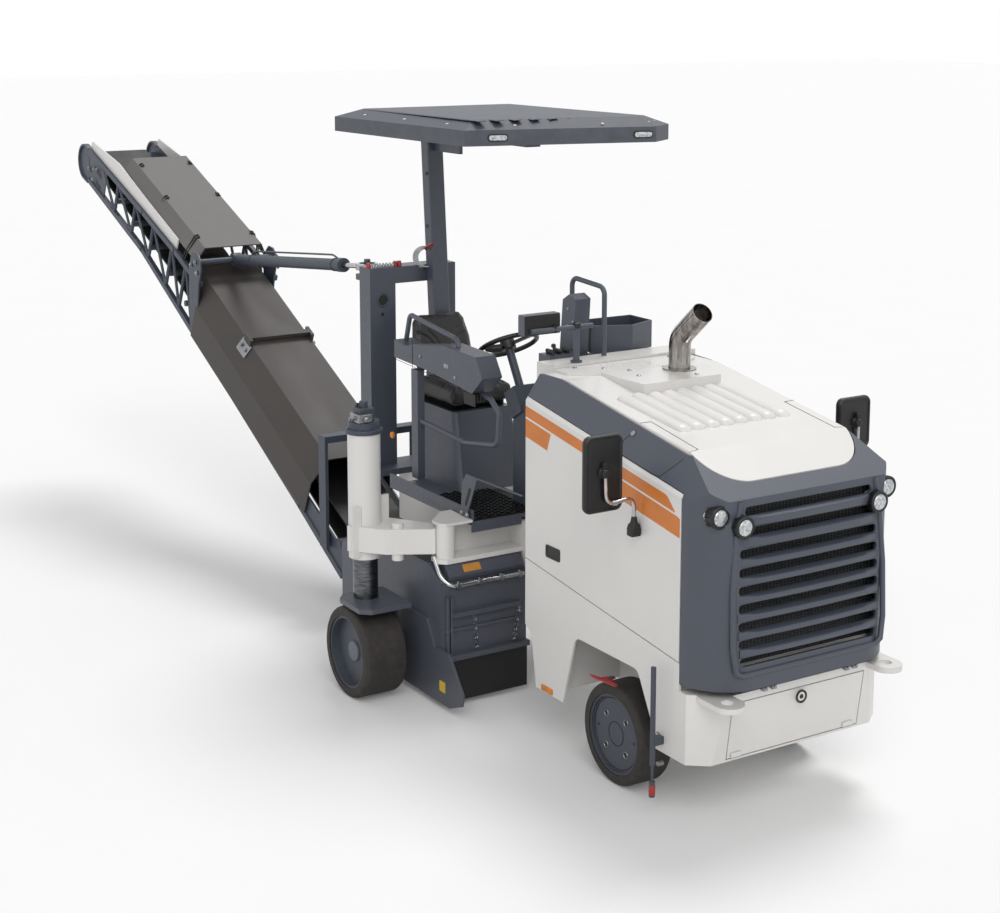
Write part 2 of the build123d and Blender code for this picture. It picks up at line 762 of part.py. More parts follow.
with BuildPart() as console_right:
    with BuildSketch(side_plane(-390)):
        with BuildLine():
            Polyline(
                (-2570, 1915), (-2570, 2030), (-2440, 2010), (-1940, 2090), (-1560, 2080),
                (-1480, 1960), (-1600, 1850), (-2150, 1900),
                close=True,
            )
        make_face()
    extrude(amount=140)
keep(console_right, "console_right")

rail_r = 16.0
with BuildPart() as handrails:
    block((-2330, -2250), (-540, -490), (floor_z + 70, 1880))
    add(
        rail(
            ((-1640, -460, 1845), (-1500, -460, 1830), (-1400, -460, 1760), (-1420, -460, 1560),
             (-1800, -460, 1500), (-2290, -520, 1560)),
            rail_r, 60,
        )
    )
    add(rail(((-2540, -460, 2010), (-2480, -460, 2200), (-1900, -460, 2130), (-1860, -460, 2070)), rail_r, 40))
    add(console_right.part, mode=Mode.SUBTRACT)
keep(handrails, "handrails")

wheel_mid = Vector(-1860, seat_y, 2065)
wheel_r = 185.0
column_dir = Vector(-sin(radians(30)), 0, cos(radians(30)))
with BuildPart() as steering_column:
    bar(tuple(wheel_mid - column_dir * 440), tuple(wheel_mid - column_dir * 34), 26)
    with Locations(Plane(wheel_mid - column_dir * 370, z_dir=column_dir).location):
        Box(130, 170, 170)
    block((-1690, -1550), (seat_y - 70, seat_y + 70), (floor_z, 1730))
keep(steering_column, "steering_column")

wheel_plane = Plane(wheel_mid, z_dir=column_dir)
with BuildPart() as steering_wheel:
    with Locations(wheel_plane.location):
        Torus(wheel_r, 15)
        Cylinder(46, 56)
        with PolarLocations(wheel_r / 2 + 10, 3, start_angle=30):
            Box(wheel_r - 12, 30, 16)
keep(steering_wheel, "steering_wheel")

post_x, post_y = body_rear_x - 45.0, -270.0
arm_z = 2345.0
with BuildPart() as display:
    bar((post_x, post_y, cabinet_top_z), (post_x, post_y, cabinet_top_z + 10), 34)
    bar((post_x, post_y, cabinet_top_z), (post_x, post_y, arm_z), 19)
    bar((post_x, post_y - 310, arm_z), (post_x, post_y + 110, arm_z), 15)
    block((post_x - 75, post_x - 12), (post_y - 345, post_y - 105), (arm_z - 25, arm_z + 90))
keep(display, "display")

# the open tray's plan, from its front corner towards the left
tray_outline = ((-1130, 10), (-1030, 240), (-1110, 440), (-1330, 440), (-1340, 60))
tray_z = (2120.0, 2285.0)
shelf_x = (-1310.0, cabinet_x[0])
shelf_z = (2060.0, 2084.0)
hoop_x = (-1288.0, -955.0)
hoop_y = -20.0
hoop_top_z = 2560.0
with BuildPart() as dashboard:
    # a shelf behind the cabinet, with the switch panel and the upright switch box on it
    block(shelf_x, (-160, 8), shelf_z)
    block((cabinet_x[0] - 120, cabinet_x[0]), (-360, -155), (shelf_z[0], 2160))
    with BuildSketch(side_plane(hoop_y - 25)):
        with BuildLine():
            Polyline(
                (-1230, shelf_z[1]),
                (-1195, 2450),
                (-1125, 2490),
                (-1060, 2465),
                (-1090, shelf_z[1]),
                close=True,
            )
        make_face()
    extrude(amount=105)
    with BuildSketch(Plane.XY.offset(tray_z[0])):
        with BuildLine():
            Polyline(*tray_outline, close=True)
        make_face()
    extrude(amount=tray_z[1] - tray_z[0])
    with BuildSketch(Plane.XY.offset(tray_z[0] + 10)):
        with BuildLine():
            Polyline(*tray_outline, close=True)
        make_face()
        offset(amount=-8, kind=Kind.INTERSECTION)
    extrude(amount=200, mode=Mode.SUBTRACT)
    bar((-1180, 180, tray_z[0] - 1), (-1180, 180, tray_z[0] + 11), 42, Mode.SUBTRACT)
    # the tray's bracket, and its tie to the shelf
    block((-1250, cabinet_x[0]), (250, 370), (tray_z[0] - 24, tray_z[0]))
    block((-1310, -1270), (8, 300), shelf_z)
    block((-1310, -1270), (260, 300), (shelf_z[0], tray_z[0]))
keep(dashboard, "dashboard")

with BuildPart() as grab_hoop:
    add(
        rail(
            (
                (hoop_x[0], hoop_y, shelf_z[1]),
                (hoop_x[0], hoop_y, hoop_top_z),
                (hoop_x[1], hoop_y, hoop_top_z - 20),
                (hoop_x[1], hoop_y, cabinet_top_z),
            ),
            15,
            50,
        )
    )
keep(grab_hoop, "grab_hoop")

# ======== Gantry and canopy =============================================================
eye_stud_r = 22.0
mast_x = (gantry_x[1], -2812.0)
mast_y = -30.0
with BuildPart() as gantry:
    block(gantry_x, (-510, -320), (1100, gantry_top_z - 110))
    block(gantry_x, (-510, 140), (gantry_top_z - 110, gantry_top_z))
    block(gantry_x, (30, 140), (1100, gantry_top_z - 110))
    block((gantry_x[0], mast_x[1]), (-520, spine_left_y), (spine_top_z, 1100))
    # lower bearing arm of the conveyor and upper arm for the hoist
    block((slew_x - 70, gantry_x[0]), (-420, -240), (1280, 1340))
    block((slew_x - 45, gantry_x[0]), (-400, -320), (hoist_eye_z - 90, hoist_eye_z - 50))
    block((slew_x - 45, slew_x + 45), (-400, -260), (hoist_eye_z - 90, hoist_eye_z - 50))
    bar((slew_x, conveyor_y, hoist_eye_z - 51), (slew_x, conveyor_y, hoist_eye_z + 50), eye_stud_r)
    bar((slew_x, conveyor_y, 1279), (slew_x, conveyor_y, 1341), 30 + running_gap, Mode.SUBTRACT)
keep(gantry, "gantry")

mast_foot = Vector(-2846, mast_y, 2000)
mast_top = Vector(-2945, mast_y, canopy_low_z - 26)
with BuildPart() as canopy_mast:
    with BuildSketch(Plane(mast_foot, x_dir=(0, 1, 0), z_dir=(mast_top - mast_foot).normalized())):
        RectangleRounded(118, 100, 12)
    extrude(amount=(mast_top - mast_foot).length)
    block(mast_x, (mast_y - 59, mast_y + 59), (1100, 2010))
    block((-3200, -1700), (-80, 20), (canopy_low_z - 26, canopy_low_z))
    block((-2900, -2560), (-42, -18), (canopy_low_z - 130, canopy_low_z - 26))
    block((-3250, -1650), (-200, 200), (canopy_low_z, canopy_low_z + 90), Mode.SUBTRACT)
keep(canopy_mast, "canopy_mast")

canopy_outline = ((-3270, -580), (-1655, -545), (-1360, 640), (-1500, 840), (-3230, 800))
fascia_h = 95.0
with BuildPart() as canopy_roof:
    with BuildSketch(Plane.XY.offset(canopy_low_z)):
        with BuildLine():
            Polyline(*canopy_outline, close=True)
        make_face()
    extrude(amount=fascia_h)
    # the shallow raised top, between the fascia's upper edge and a smaller outline above it
    with BuildSketch(Plane.XY.offset(canopy_low_z + fascia_h)):
        with BuildLine():
            Polyline(*canopy_outline, close=True)
        make_face()
    with BuildSketch(Plane.XY.offset(canopy_low_z + canopy_h)):
        with BuildLine():
            Polyline(*canopy_outline, close=True)
        make_face()
        offset(amount=-140, kind=Kind.INTERSECTION)
    loft()
    with BuildSketch(Plane.XY.offset(canopy_low_z)):
        with BuildLine():
            Polyline(*canopy_outline, close=True)
        make_face()
        offset(amount=-canopy_t, kind=Kind.INTERSECTION)
    extrude(amount=fascia_h - canopy_t, mode=Mode.SUBTRACT)
    block((-3200, -1700), (-80, 20), (canopy_low_z, canopy_low_z + fascia_h))
keep(canopy_roof, "canopy_roof")

# ======== Conveyor ======================================================================
tilt = radians(incline)
u_dir = Vector(-cos(tilt), 0, sin(tilt))
w_dir = Vector(sin(tilt), 0, cos(tilt))
pivot = Vector(slew_x, 0, lift_pivot_z)


def belt_plane(y):
    """A side view of the conveyor at y, in u and w, which extrudes towards the left."""
    return Plane(origin=(slew_x, y, lift_pivot_z), x_dir=u_dir, z_dir=u_dir.cross(w_dir))


def on_belt(u, y, w):
    """A point from the conveyor's own frame."""
    spot = pivot + u_dir * u + w_dir * w
    return (spot.X, y, spot.Z)


def line_w(u, start, end):
    """w at u on the straight line between two (u, w) points."""
    return start[1] + (end[1] - start[1]) * (u - start[0]) / (end[0] - start[0])


# side frame: lower edge from the foot, and the upper chord from where the lower cover ends
lower_edge = ((-270.0, -130.0), (450.0, -100.0), (3750.0, -30.0), (5070.0, -140.0))
chord_edge = ((2600.0, 410.0), (3130.0, 382.0), (3840.0, 312.0), (5150.0, 160.0))
foot_top = 60.0
chord_t = 42.0
post_t = 30.0
pin_r = 24.0
right_y = conveyor_y - truss_half
left_y = conveyor_y + truss_half
head_middle = (5206.0, -10.0)
# columns: u where each bay of the truss begins; the last number ends the last bay
bay_ends = (2790.0, 3200.0, 3610.0, 4020.0, 4430.0, 4830.0)
with BuildPart() as conveyor_frame:
    for y in (right_y, left_y - truss_t):
        with BuildSketch(belt_plane(y)):
            with BuildLine():
                Polyline(
                    *lower_edge,
                    (head_middle[0], head_middle[1] - head_r),
                    (head_middle[0], head_middle[1] + head_r),
                    *reversed(chord_edge),
                    (2575.0, foot_top),
                    (-270.0, foot_top),
                    close=True,
                )
            make_face()
            with Locations(head_middle):
                Circle(head_r)
            with Locations(hanger):
                Circle(80)
            with Locations((hanger[0], 400)):
                Rectangle(160, 2 * (hanger[1] - 400))
        extrude(amount=truss_t)
        # each bay has two triangles cut out, which leaves its posts and one diagonal
        for start, end in zip(bay_ends, bay_ends[1:]):
            low = max(line_w(start, lower_edge[1], lower_edge[2]), -40.0) + chord_t
            high = line_w(end, chord_edge[1], chord_edge[3]) - chord_t
            left, right = start + post_t, end - post_t
            with BuildSketch(belt_plane(y)):
                with BuildLine():
                    Polyline((left, low), (right - 60, low), (left, high - 60), close=True)
                make_face()
                with BuildLine():
                    Polyline((right, high), (left + 60, high), (right, low + 60), close=True)
                make_face()
            extrude(amount=truss_t, mode=Mode.SUBTRACT)
        bar((slew_x, y - 1, lift_pivot_z), (slew_x, y + truss_t + 1, lift_pivot_z),
            pin_r + running_gap, Mode.SUBTRACT)
    # cross bars and pulleys between the belt's two runs, and the hoist's pin across the ears
    inside_right, inside_left = right_y + truss_t - 1, left_y - truss_t + 1
    for u in bay_ends[:-1]:
        w = line_w(u, foot_pulley, belt_kink) if u < belt_kink[0] else line_w(u, belt_kink, head_pulley)
        bar(on_belt(u, inside_right, w), on_belt(u, inside_left, w), 24)
    for u, w in (foot_pulley, head_pulley):
        bar(on_belt(u, inside_right, w), on_belt(u, inside_left, w), 62)
    bar(on_belt(hanger[0], inside_right, hanger[1]), on_belt(hanger[0], inside_left, hanger[1]), pin_r)
keep(conveyor_frame, "conveyor_frame")


with BuildPart() as conveyor_belt:
    with BuildSketch(belt_plane(conveyor_y - belt_w / 2)):
        for radius, mode in ((pulley_r + belt_t, Mode.ADD), (pulley_r, Mode.SUBTRACT)):
            with BuildLine():
                Polyline(
                    (foot_pulley[0], foot_pulley[1] + radius),
                    (belt_kink[0], belt_kink[1] + radius),
                    (head_pulley[0], head_pulley[1] + radius),
                    (head_pulley[0], head_pulley[1] - radius),
                    (belt_kink[0], belt_kink[1] - radius),
                    (foot_pulley[0], foot_pulley[1] - radius),
                    close=True,
                )
            make_face(mode=mode)
            with Locations(foot_pulley, head_pulley):
                Circle(radius, mode=mode)
    extrude(amount=belt_w)
keep(conveyor_belt, "conveyor_belt")

cover_t = 8.0
skirt_half = truss_half + cover_t + 2.0
# columns: u and w of the top at the near end, u and w at the far end, and half the section
# from a skirt's foot to the top: half width and height below the top
lower_cover = ((350.0, 400.0), (2560.0, 400.0),
               ((skirt_half, -460.0), (skirt_half, -200.0), (245.0, 0.0)))
upper_cover = ((2780.0, 603.0), (4400.0, 480.0), ((300.0, -120.0), (240.0, 0.0)))
with BuildPart() as conveyor_cover:
    for near_end, far_end, half in (lower_cover, upper_cover):
        run = Vector(*on_belt(far_end[0], 0, far_end[1])) - Vector(*on_belt(near_end[0], 0, near_end[1]))
        start = on_belt(near_end[0], conveyor_y, near_end[1])
        section = Plane(origin=start, x_dir=(0, 1, 0), z_dir=run.normalized())
        # on this plane the second axis points down for a run up the belt
        down = 1 if section.y_dir.Z < 0 else -1
        outer = [(y, -down * w) for y, w in half]
        inner = [(y - cover_t, -down * (w - (cover_t if w > -60 else 0))) for y, w in half]
        loop = outer + [(-y, w) for y, w in reversed(outer)]
        loop += [(-y, w) for y, w in inner] + [(y, w) for y, w in reversed(inner)]
        with BuildSketch(section):
            with BuildLine():
                Polyline(*loop, close=True)
            make_face()
        extrude(amount=run.length)
    # a bracket across the lower cover, with a plate at each end
    for y in (-250.0, 250.0):
        with Locations(Plane(on_belt(1790.0, conveyor_y + y, 400.0), x_dir=u_dir, z_dir=w_dir).location):
            Box(110, 24, 90)
    with Locations(Plane(on_belt(1790.0, conveyor_y, 430.0), x_dir=u_dir, z_dir=w_dir).location):
        Box(44, 520, 30)
keep(conveyor_cover, "conveyor_cover")

strip_t = 12.0
with BuildPart() as conveyor_strips:
    for y in (right_y + truss_t - strip_t - 1, left_y - truss_t + 1):
        with BuildSketch(belt_plane(y)):
            with BuildLine():
                Polyline(
                    *[(u, w) for u, w in chord_edge[1:]],
                    (5150.0, 225.0),
                    (4500.0, 372.0),
                    (3840.0, 412.0),
                    (3130.0, 468.0),
                    close=True,
                )
            make_face()
        extrude(amount=strip_t)
keep(conveyor_strips, "conveyor_strips")

portal_gap = 8.0
portal_t = 24.0
portal_top_z = 1264.0
with BuildPart() as conveyor_swivel:
    y_out = truss_half + portal_gap + portal_t
    block((slew_x - 50, slew_x + 50), (conveyor_y - y_out, conveyor_y + y_out),
          (portal_top_z - 46, portal_top_z))
    for side in (-1, 1):
        near, far = sorted((conveyor_y + side * (truss_half + portal_gap), conveyor_y + side * y_out))
        block((slew_x - 50, slew_x + 50), (near, far), (lift_pivot_z - 60, portal_top_z - 46))
        bar((slew_x, conveyor_y + side * y_out, lift_pivot_z),
            (slew_x, conveyor_y + side * (truss_half - truss_t), lift_pivot_z), pin_r)
    bar((slew_x, conveyor_y, portal_top_z), (slew_x, conveyor_y, 1372), 30)
    bar((slew_x, conveyor_y, 1352), (slew_x, conveyor_y, 1372), 48)
keep(conveyor_swivel, "conveyor_swivel")

# Hoist cylinder, from the hanger yoke to the stud on the gantry
hanger_pin = Vector(*on_belt(hanger[0], conveyor_y, hanger[1]))
eye = Vector(slew_x, conveyor_y, hoist_eye_z)
reach = (eye - hanger_pin).length
hoist_dir = (eye - hanger_pin).normalized()


def along_hoist(distance):
    """A point on the cylinder's axis, measured from the hanger pin."""
    return tuple(hanger_pin + hoist_dir * distance)


with BuildPart() as lift_cylinder:
    bar(along_hoist(40), along_hoist(reach - 360), barrel_r)
    bar(along_hoist(reach - 420), along_hoist(reach - 350), barrel_r + 8)
    bar((hanger_pin.X, conveyor_y - 34, hanger_pin.Z), (hanger_pin.X, conveyor_y + 34, hanger_pin.Z), 52)
    bar((hanger_pin.X, conveyor_y - 40, hanger_pin.Z), (hanger_pin.X, conveyor_y + 40, hanger_pin.Z),
        pin_r + running_gap, Mode.SUBTRACT)
    bar(along_hoist(reach - 1500), along_hoist(reach - 340), hoist_rod_r + running_gap, Mode.SUBTRACT)
keep(lift_cylinder, "lift_cylinder")

eye_play = 34.0                 # room for the eye to drift over the hoist's travel
with BuildPart() as lift_rod:
    bar(along_hoist(reach - 1150), along_hoist(reach - eye_stud_r - eye_play - 6), hoist_rod_r)
    bar((eye.X, eye.Y, eye.Z - 22), (eye.X, eye.Y, eye.Z + 22), eye_stud_r + eye_play + 22)
    bar((eye.X, eye.Y, eye.Z - 30), (eye.X, eye.Y, eye.Z + 30), eye_stud_r + eye_play, Mode.SUBTRACT)
keep(lift_rod, "lift_rod")

# ======== Aiming rod at the right front =================================================
rod_x, rod_y = 470.0, -700.0
with BuildPart() as aiming_rod:
    block((rod_x - 20, rod_x + 20), (rod_y, -body_half), (410, 450))
    bar((rod_x, rod_y, 300), (rod_x, rod_y, 830), 14)
    bar((rod_x, rod_y, 215), (rod_x, rod_y, 300), 7)
    bar((rod_x, rod_y, 130), (rod_x, rod_y, 215), 16)
keep(aiming_rod, "aiming_rod")
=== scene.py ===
# %% [markdown]
# # A small cold planer, finished for its portrait
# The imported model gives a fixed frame: every welded and cast part already stands where it
# belongs. A beginner could model everything by hand in the viewport, but a script repeats
# exactly and keeps each size readable.

# %% Load the frame
import math
import bmesh
import bpy
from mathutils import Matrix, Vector


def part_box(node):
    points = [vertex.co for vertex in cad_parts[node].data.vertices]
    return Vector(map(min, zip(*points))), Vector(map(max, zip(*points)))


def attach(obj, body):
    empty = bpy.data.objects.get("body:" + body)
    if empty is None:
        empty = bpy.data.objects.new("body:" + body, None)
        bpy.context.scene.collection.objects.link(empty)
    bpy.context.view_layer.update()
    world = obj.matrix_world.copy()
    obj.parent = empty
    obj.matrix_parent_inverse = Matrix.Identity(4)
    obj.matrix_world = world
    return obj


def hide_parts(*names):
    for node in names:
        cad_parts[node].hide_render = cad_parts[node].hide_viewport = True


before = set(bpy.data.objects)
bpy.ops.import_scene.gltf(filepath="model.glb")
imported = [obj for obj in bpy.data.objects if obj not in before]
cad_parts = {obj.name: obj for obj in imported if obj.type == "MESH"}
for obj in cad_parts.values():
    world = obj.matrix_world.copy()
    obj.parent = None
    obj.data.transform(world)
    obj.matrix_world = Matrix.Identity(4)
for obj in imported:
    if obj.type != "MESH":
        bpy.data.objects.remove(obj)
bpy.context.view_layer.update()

# %% [markdown]
# Sizes on a machine are easiest to read in millimetres from a part you can point at. Here
# that is the ground under the middle of the front axle. One helper turns such a place into
# scene metres, because the frame's own origin is under the middle of the whole machine.

# %% Places in workshop millimetres
right_tyre, left_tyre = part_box("front_right_tyre"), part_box("front_left_tyre")
AXLE = Vector(((right_tyre[0].x + right_tyre[1].x) / 2, (right_tyre[0].y + left_tyre[1].y) / 2, 0.0))


def at(x, y, z):
    """A place in millimetres from under the front axle, as scene metres."""
    return AXLE + Vector((x, y, z)) * 0.001


# where things stand, in millimetres: body side, legs, wheel axles, conveyor's middle, its foot
body_side, leg_x, axle_z, belt_y = 642, -1877, 280, -335
belt_x, belt_z = -3300, 540
incline = math.radians(25.6)
along_belt = Vector((-math.cos(incline), 0.0, math.sin(incline)))
off_belt = Vector((math.sin(incline), 0.0, math.cos(incline)))


def on_belt(u, y, w):
    """A place on the conveyor: u up the belt, y across, w square off the belt."""
    return at(belt_x, y, belt_z) + (along_belt * u + off_belt * w) * 0.001


print("front axle at", tuple(round(v, 3) for v in AXLE))

# %% [markdown]
# The camera comes first, so that each later step can be judged from it. It stands at a
# person's raised viewpoint off the right front corner with a long lens. A small downward
# shift keeps the uprights of the machine nearly parallel, as an architect's camera would.

# %% Camera
camera_data = bpy.data.cameras.new("camera")
camera_data.lens = 65.2
camera_data.sensor_width = 36.0
camera_data.shift_y = -0.151
camera = bpy.data.objects.new("camera", camera_data)
camera.location = at(7518, -6016, 4169)
camera.rotation_euler = (math.radians(80.5), 0.0, math.radians(58.06))
bpy.context.scene.collection.objects.link(camera)
bpy.context.scene.camera = camera
print("lens", camera_data.lens, "mm")

# %% [markdown]
# ## Finishes
# A material is a small circuit of nodes. One helper adds any node, sets its options, and
# fills its inputs: a number goes into the socket, and another node's output is linked.

# %% Node helper and colours


def feed(tree, node, inputs):
    """Fill a node's inputs: a number or colour is set, an output or a node's first live one is linked."""
    for name, value in inputs.items():
        if isinstance(value, bpy.types.Node):
            value = next(output for output in value.outputs if output.enabled)
        if isinstance(value, bpy.types.NodeSocket):
            tree.links.new(value, node.inputs[name])
        else:
            node.inputs[name].default_value = value


def add(tree, kind, inputs=None, **settings):
    """Add one shader node of a kind, with its settings and inputs."""
    node = tree.nodes.new("ShaderNode" + kind)
    for name, value in settings.items():
        setattr(node, name, value)
    feed(tree, node, inputs or {})
    return node


def colour(code):
    """An sRGB hex colour as linear RGBA."""
    parts = [int(code[i:i + 2], 16) / 255 for i in (1, 3, 5)]
    return [c / 12.92 if c <= 0.04045 else ((c + 0.055) / 1.055) ** 2.4 for c in parts] + [1.0]


def per_mm(size):
    """Texture scale for a pattern whose features are this many millimetres wide."""
    return 1000.0 / size


finishes = {}


def begin(name):
    """A new finish: its tree, its shader, and the object's own coordinates in metres."""
    made = bpy.data.materials.new(name)
    made.use_nodes = True
    finishes[name] = made
    tree = made.node_tree
    return tree, tree.nodes["Principled BSDF"], add(tree, "TexCoord").outputs["Object"]


print("mid grey in linear light", round(colour("#808080")[0], 3))

# %% [markdown]
# ### Paint on steel
# The real skin is two-pack enamel sprayed on pressed and welded steel. Sprayed paint has a
# faint orange-peel ripple a few millimetres wide, its tone drifts slightly over a panel, and
# folded edges catch the light where the paint rounds them. A Bevel node rounds edges only in
# the shading, which is much cheaper than bevelling every CAD edge. Road dust gathers low down.

# %% Sprayed enamel


def enamel(name, base, worn, roughness, coat=0.0, dust=0.10, edge_mm=4.0):
    """Sprayed enamel with drift in tone, orange peel, paler edges and low dust."""
    tree, shader, place = begin(name)
    drift = add(tree, "TexNoise", {"Vector": place, "Scale": per_mm(420), "Detail": 3.0})
    peel = add(tree, "TexNoise", {"Vector": place, "Scale": per_mm(5), "Detail": 2.0})
    scuff = add(tree, "TexNoise", {"Vector": place, "Scale": per_mm(38), "Detail": 6.0, "Roughness": 0.7})
    rounded = add(tree, "Bevel", {"Radius": edge_mm / 1000}, samples=4)
    flat = add(tree, "NewGeometry")
    folded = add(tree, "VectorMath", {0: rounded, 1: flat.outputs["Normal"]}, operation="DOT_PRODUCT")
    edge = add(tree, "MapRange", {"Value": folded, "From Min": 0.985, "From Max": 0.80, "To Min": 0.0,
        "To Max": 0.55})
    patchy = add(tree, "Math", {0: edge, 1: scuff}, operation="MULTIPLY")
    dull = [c * 0.94 for c in colour(base)[:3]] + [1.0]
    fresh = [min(1.0, c * 1.05) for c in colour(base)[:3]] + [1.0]
    tone = add(tree, "Mix", {"Factor": drift, 6: dull, 7: fresh}, data_type="RGBA")
    edged = add(tree, "Mix", {"Factor": patchy, 6: tone, 7: colour(worn)}, data_type="RGBA")
    height = add(tree, "SeparateXYZ", {0: place})
    low = add(tree, "MapRange", {"Value": height.outputs["Z"], "From Min": 1.0, "From Max": 0.1,
        "To Min": 0.0, "To Max": dust})
    dusty = add(tree, "Math", {0: low, 1: scuff}, operation="MULTIPLY")
    road_dust = colour("#8F867A")
    coated = add(tree, "Mix", {"Factor": dusty, 6: edged, 7: road_dust}, data_type="RGBA")
    gloss = add(tree, "MapRange", {"Value": scuff, "From Min": 0.3, "From Max": 0.7,
        "To Min": roughness - 0.05, "To Max": roughness + 0.08})
    ripple = add(tree, "Bump", {"Height": peel, "Strength": 0.12, "Distance": 0.0006, "Normal": rounded})
    feed(tree, shader, {"Base Color": coated, "Roughness": gloss, "Normal": ripple, "Coat Weight": coat,
        "Coat Roughness": 0.12})
    return finishes[name]


white_enamel = enamel("white_enamel", "#E6E4E1", "#F4F3F0", 0.36, coat=0.25)
slate_enamel = enamel("slate_enamel", "#4B505B", "#6E7480", 0.42, coat=0.10)
frame_enamel = enamel("frame_enamel", "#3F4652", "#636B78", 0.46)
hub_enamel = enamel("hub_enamel", "#666C76", "#7F8590", 0.45)
red_enamel = enamel("red_enamel", "#A82020", "#C85A50", 0.38, coat=0.2, edge_mm=1.5)
print("enamels", len(finishes))

# %% [markdown]
# ### Printed film, metal, rubber and plastic
# Plainer finishes share one recipe: a base colour that drifts between two shades, grains of a
# real size as bump, and a roughness that drifts with them. What differs is the numbers, and
# those come from what each surface is.

# %% Grained finishes


def grained(name, dark, light, roughness, grain_mm, depth_mm, metallic=0.0, stretch=(1, 1, 1), strength=0.4,
        drift_mm=90, cells=False):
    """A surface that drifts between two shades with grains of a real size pressed into it."""
    tree, shader, place = begin(name)
    run = add(tree, "Mapping", {"Vector": place, "Scale": stretch})
    drift = add(tree, "TexNoise", {"Vector": run, "Scale": per_mm(drift_mm), "Detail": 5.0})
    pattern, detail = ("Voronoi", {}) if cells else ("Noise", {"Detail": 4.0})
    grain = add(tree, f"Tex{pattern}", {"Vector": run, "Scale": per_mm(grain_mm), **detail})
    spread = add(tree, "MapRange", {"Value": drift, "From Min": 0.35, "From Max": 0.65})
    tone = add(tree, "Mix", {"Factor": spread, 6: colour(dark), 7: colour(light)}, data_type="RGBA")
    gloss = add(tree, "MapRange", {"Value": drift, "From Min": 0.3, "From Max": 0.7, "To Min": max(0.03,
        roughness - 0.06), "To Max": roughness + 0.06})
    bump = add(tree, "Bump", {"Height": grain, "Strength": strength, "Distance": depth_mm / 1000})
    feed(tree, shader, {"Base Color": tone, "Roughness": gloss, "Normal": bump, "Metallic": metallic})
    return finishes[name]


# cast vinyl film, cut and laid on the enamel: even colour, satin, no peel of its own
orange_film = grained("orange_film", "#D27826", "#DA8032", 0.36, 9, 0.05)
# rubber-coated fabric of the belt covers: dull, dusty, streaked along the run of the belt
cover_sheet = grained("cover_sheet", "#383432", "#433E3B", 0.6, 3, 0.3, stretch=(0.15, 1, 1), drift_mm=240)
upper_sheet = grained("upper_sheet", "#666463", "#72706F", 0.64, 3, 0.3, stretch=(0.2, 1, 1), drift_mm=240)
# pressed-on solid rubber tyre: warm black, scrubbed round its tread
tyre_rubber = grained("tyre_rubber", "#2C2927", "#3B3734", 0.78, 6, 0.5, drift_mm=45)
# extruded rubber: flap, boots, hoses
black_rubber = grained("black_rubber", "#101010", "#171718", 0.58, 2, 0.15)
# hard chrome over ground steel: mirror bright with a faint turned grain
hard_chrome = grained("hard_chrome", "#A8A8AA", "#C4C4C6", 0.12, 1.2, 0.01, metallic=1.0, strength=0.15)
# bent stainless tube of the exhaust, polished; its darkened colour and long dark and pale streaks are painted
# reflections
exhaust_steel = grained("exhaust_steel", "#6F6A66", "#A9A5A1", 0.14, 2, 0.02, metallic=1.0, strength=0.2,
    stretch=(1, 1, 0.3), drift_mm=30)
# ground and oiled steel of the sliding legs: dark mirror with fine rings from the grinder
ground_steel = grained("ground_steel", "#4E4F52", "#77787B", 0.22, 2.2, 0.05, metallic=1.0, stretch=(0.4, 0.4,
    3), drift_mm=26)
# zinc-plated screws and bare mild steel: grey, slightly rough
zinc_plate = grained("zinc_plate", "#85878A", "#A0A2A4", 0.34, 2, 0.04, metallic=1.0)
# blasted steel of the drum and its picks, brown-grey from the road
worn_steel = grained("worn_steel", "#5C5650", "#77706A", 0.5, 4, 0.3, metallic=0.9)
# black polypropylene with moulded grain
black_plastic = grained("black_plastic", "#0E0F10", "#141517", 0.42, 1.6, 0.12, cells=True)
# twin-sheet thermoformed ABS of the canopy, coarse leather grain
canopy_abs = grained("canopy_abs", "#4A4E57", "#565A62", 0.58, 7, 0.5, cells=True)
# coated seat vinyl: fine pebble grain, slight sheen
seat_vinyl = grained("seat_vinyl", "#161618", "#202023", 0.46, 2.4, 0.25, cells=True)
seat_vinyl.node_tree.nodes["Principled BSDF"].inputs["Sheen Weight"].default_value = 0.15
# galvanised tread plate: pale grey spangle
tread_plate = grained("tread_plate", "#B4B5B5", "#D2D2D1", 0.42, 14, 0.1, metallic=0.6, cells=True)
# dark tinted glass of the read-out, amber and red reflector plastic, blank label film
screen_glass = grained("screen_glass", "#08090B", "#0C0D10", 0.09, 5, 0.01, strength=0.05)
amber_plastic = grained("amber_plastic", "#C86A10", "#E08A22", 0.25, 3, 0.3, cells=True)
label_orange = grained("label_orange", "#C98A3A", "#D29747", 0.4, 6, 0.03)
label_yellow = grained("label_yellow", "#D9B62A", "#E4C43A", 0.4, 6, 0.03)
print("finishes", len(finishes))
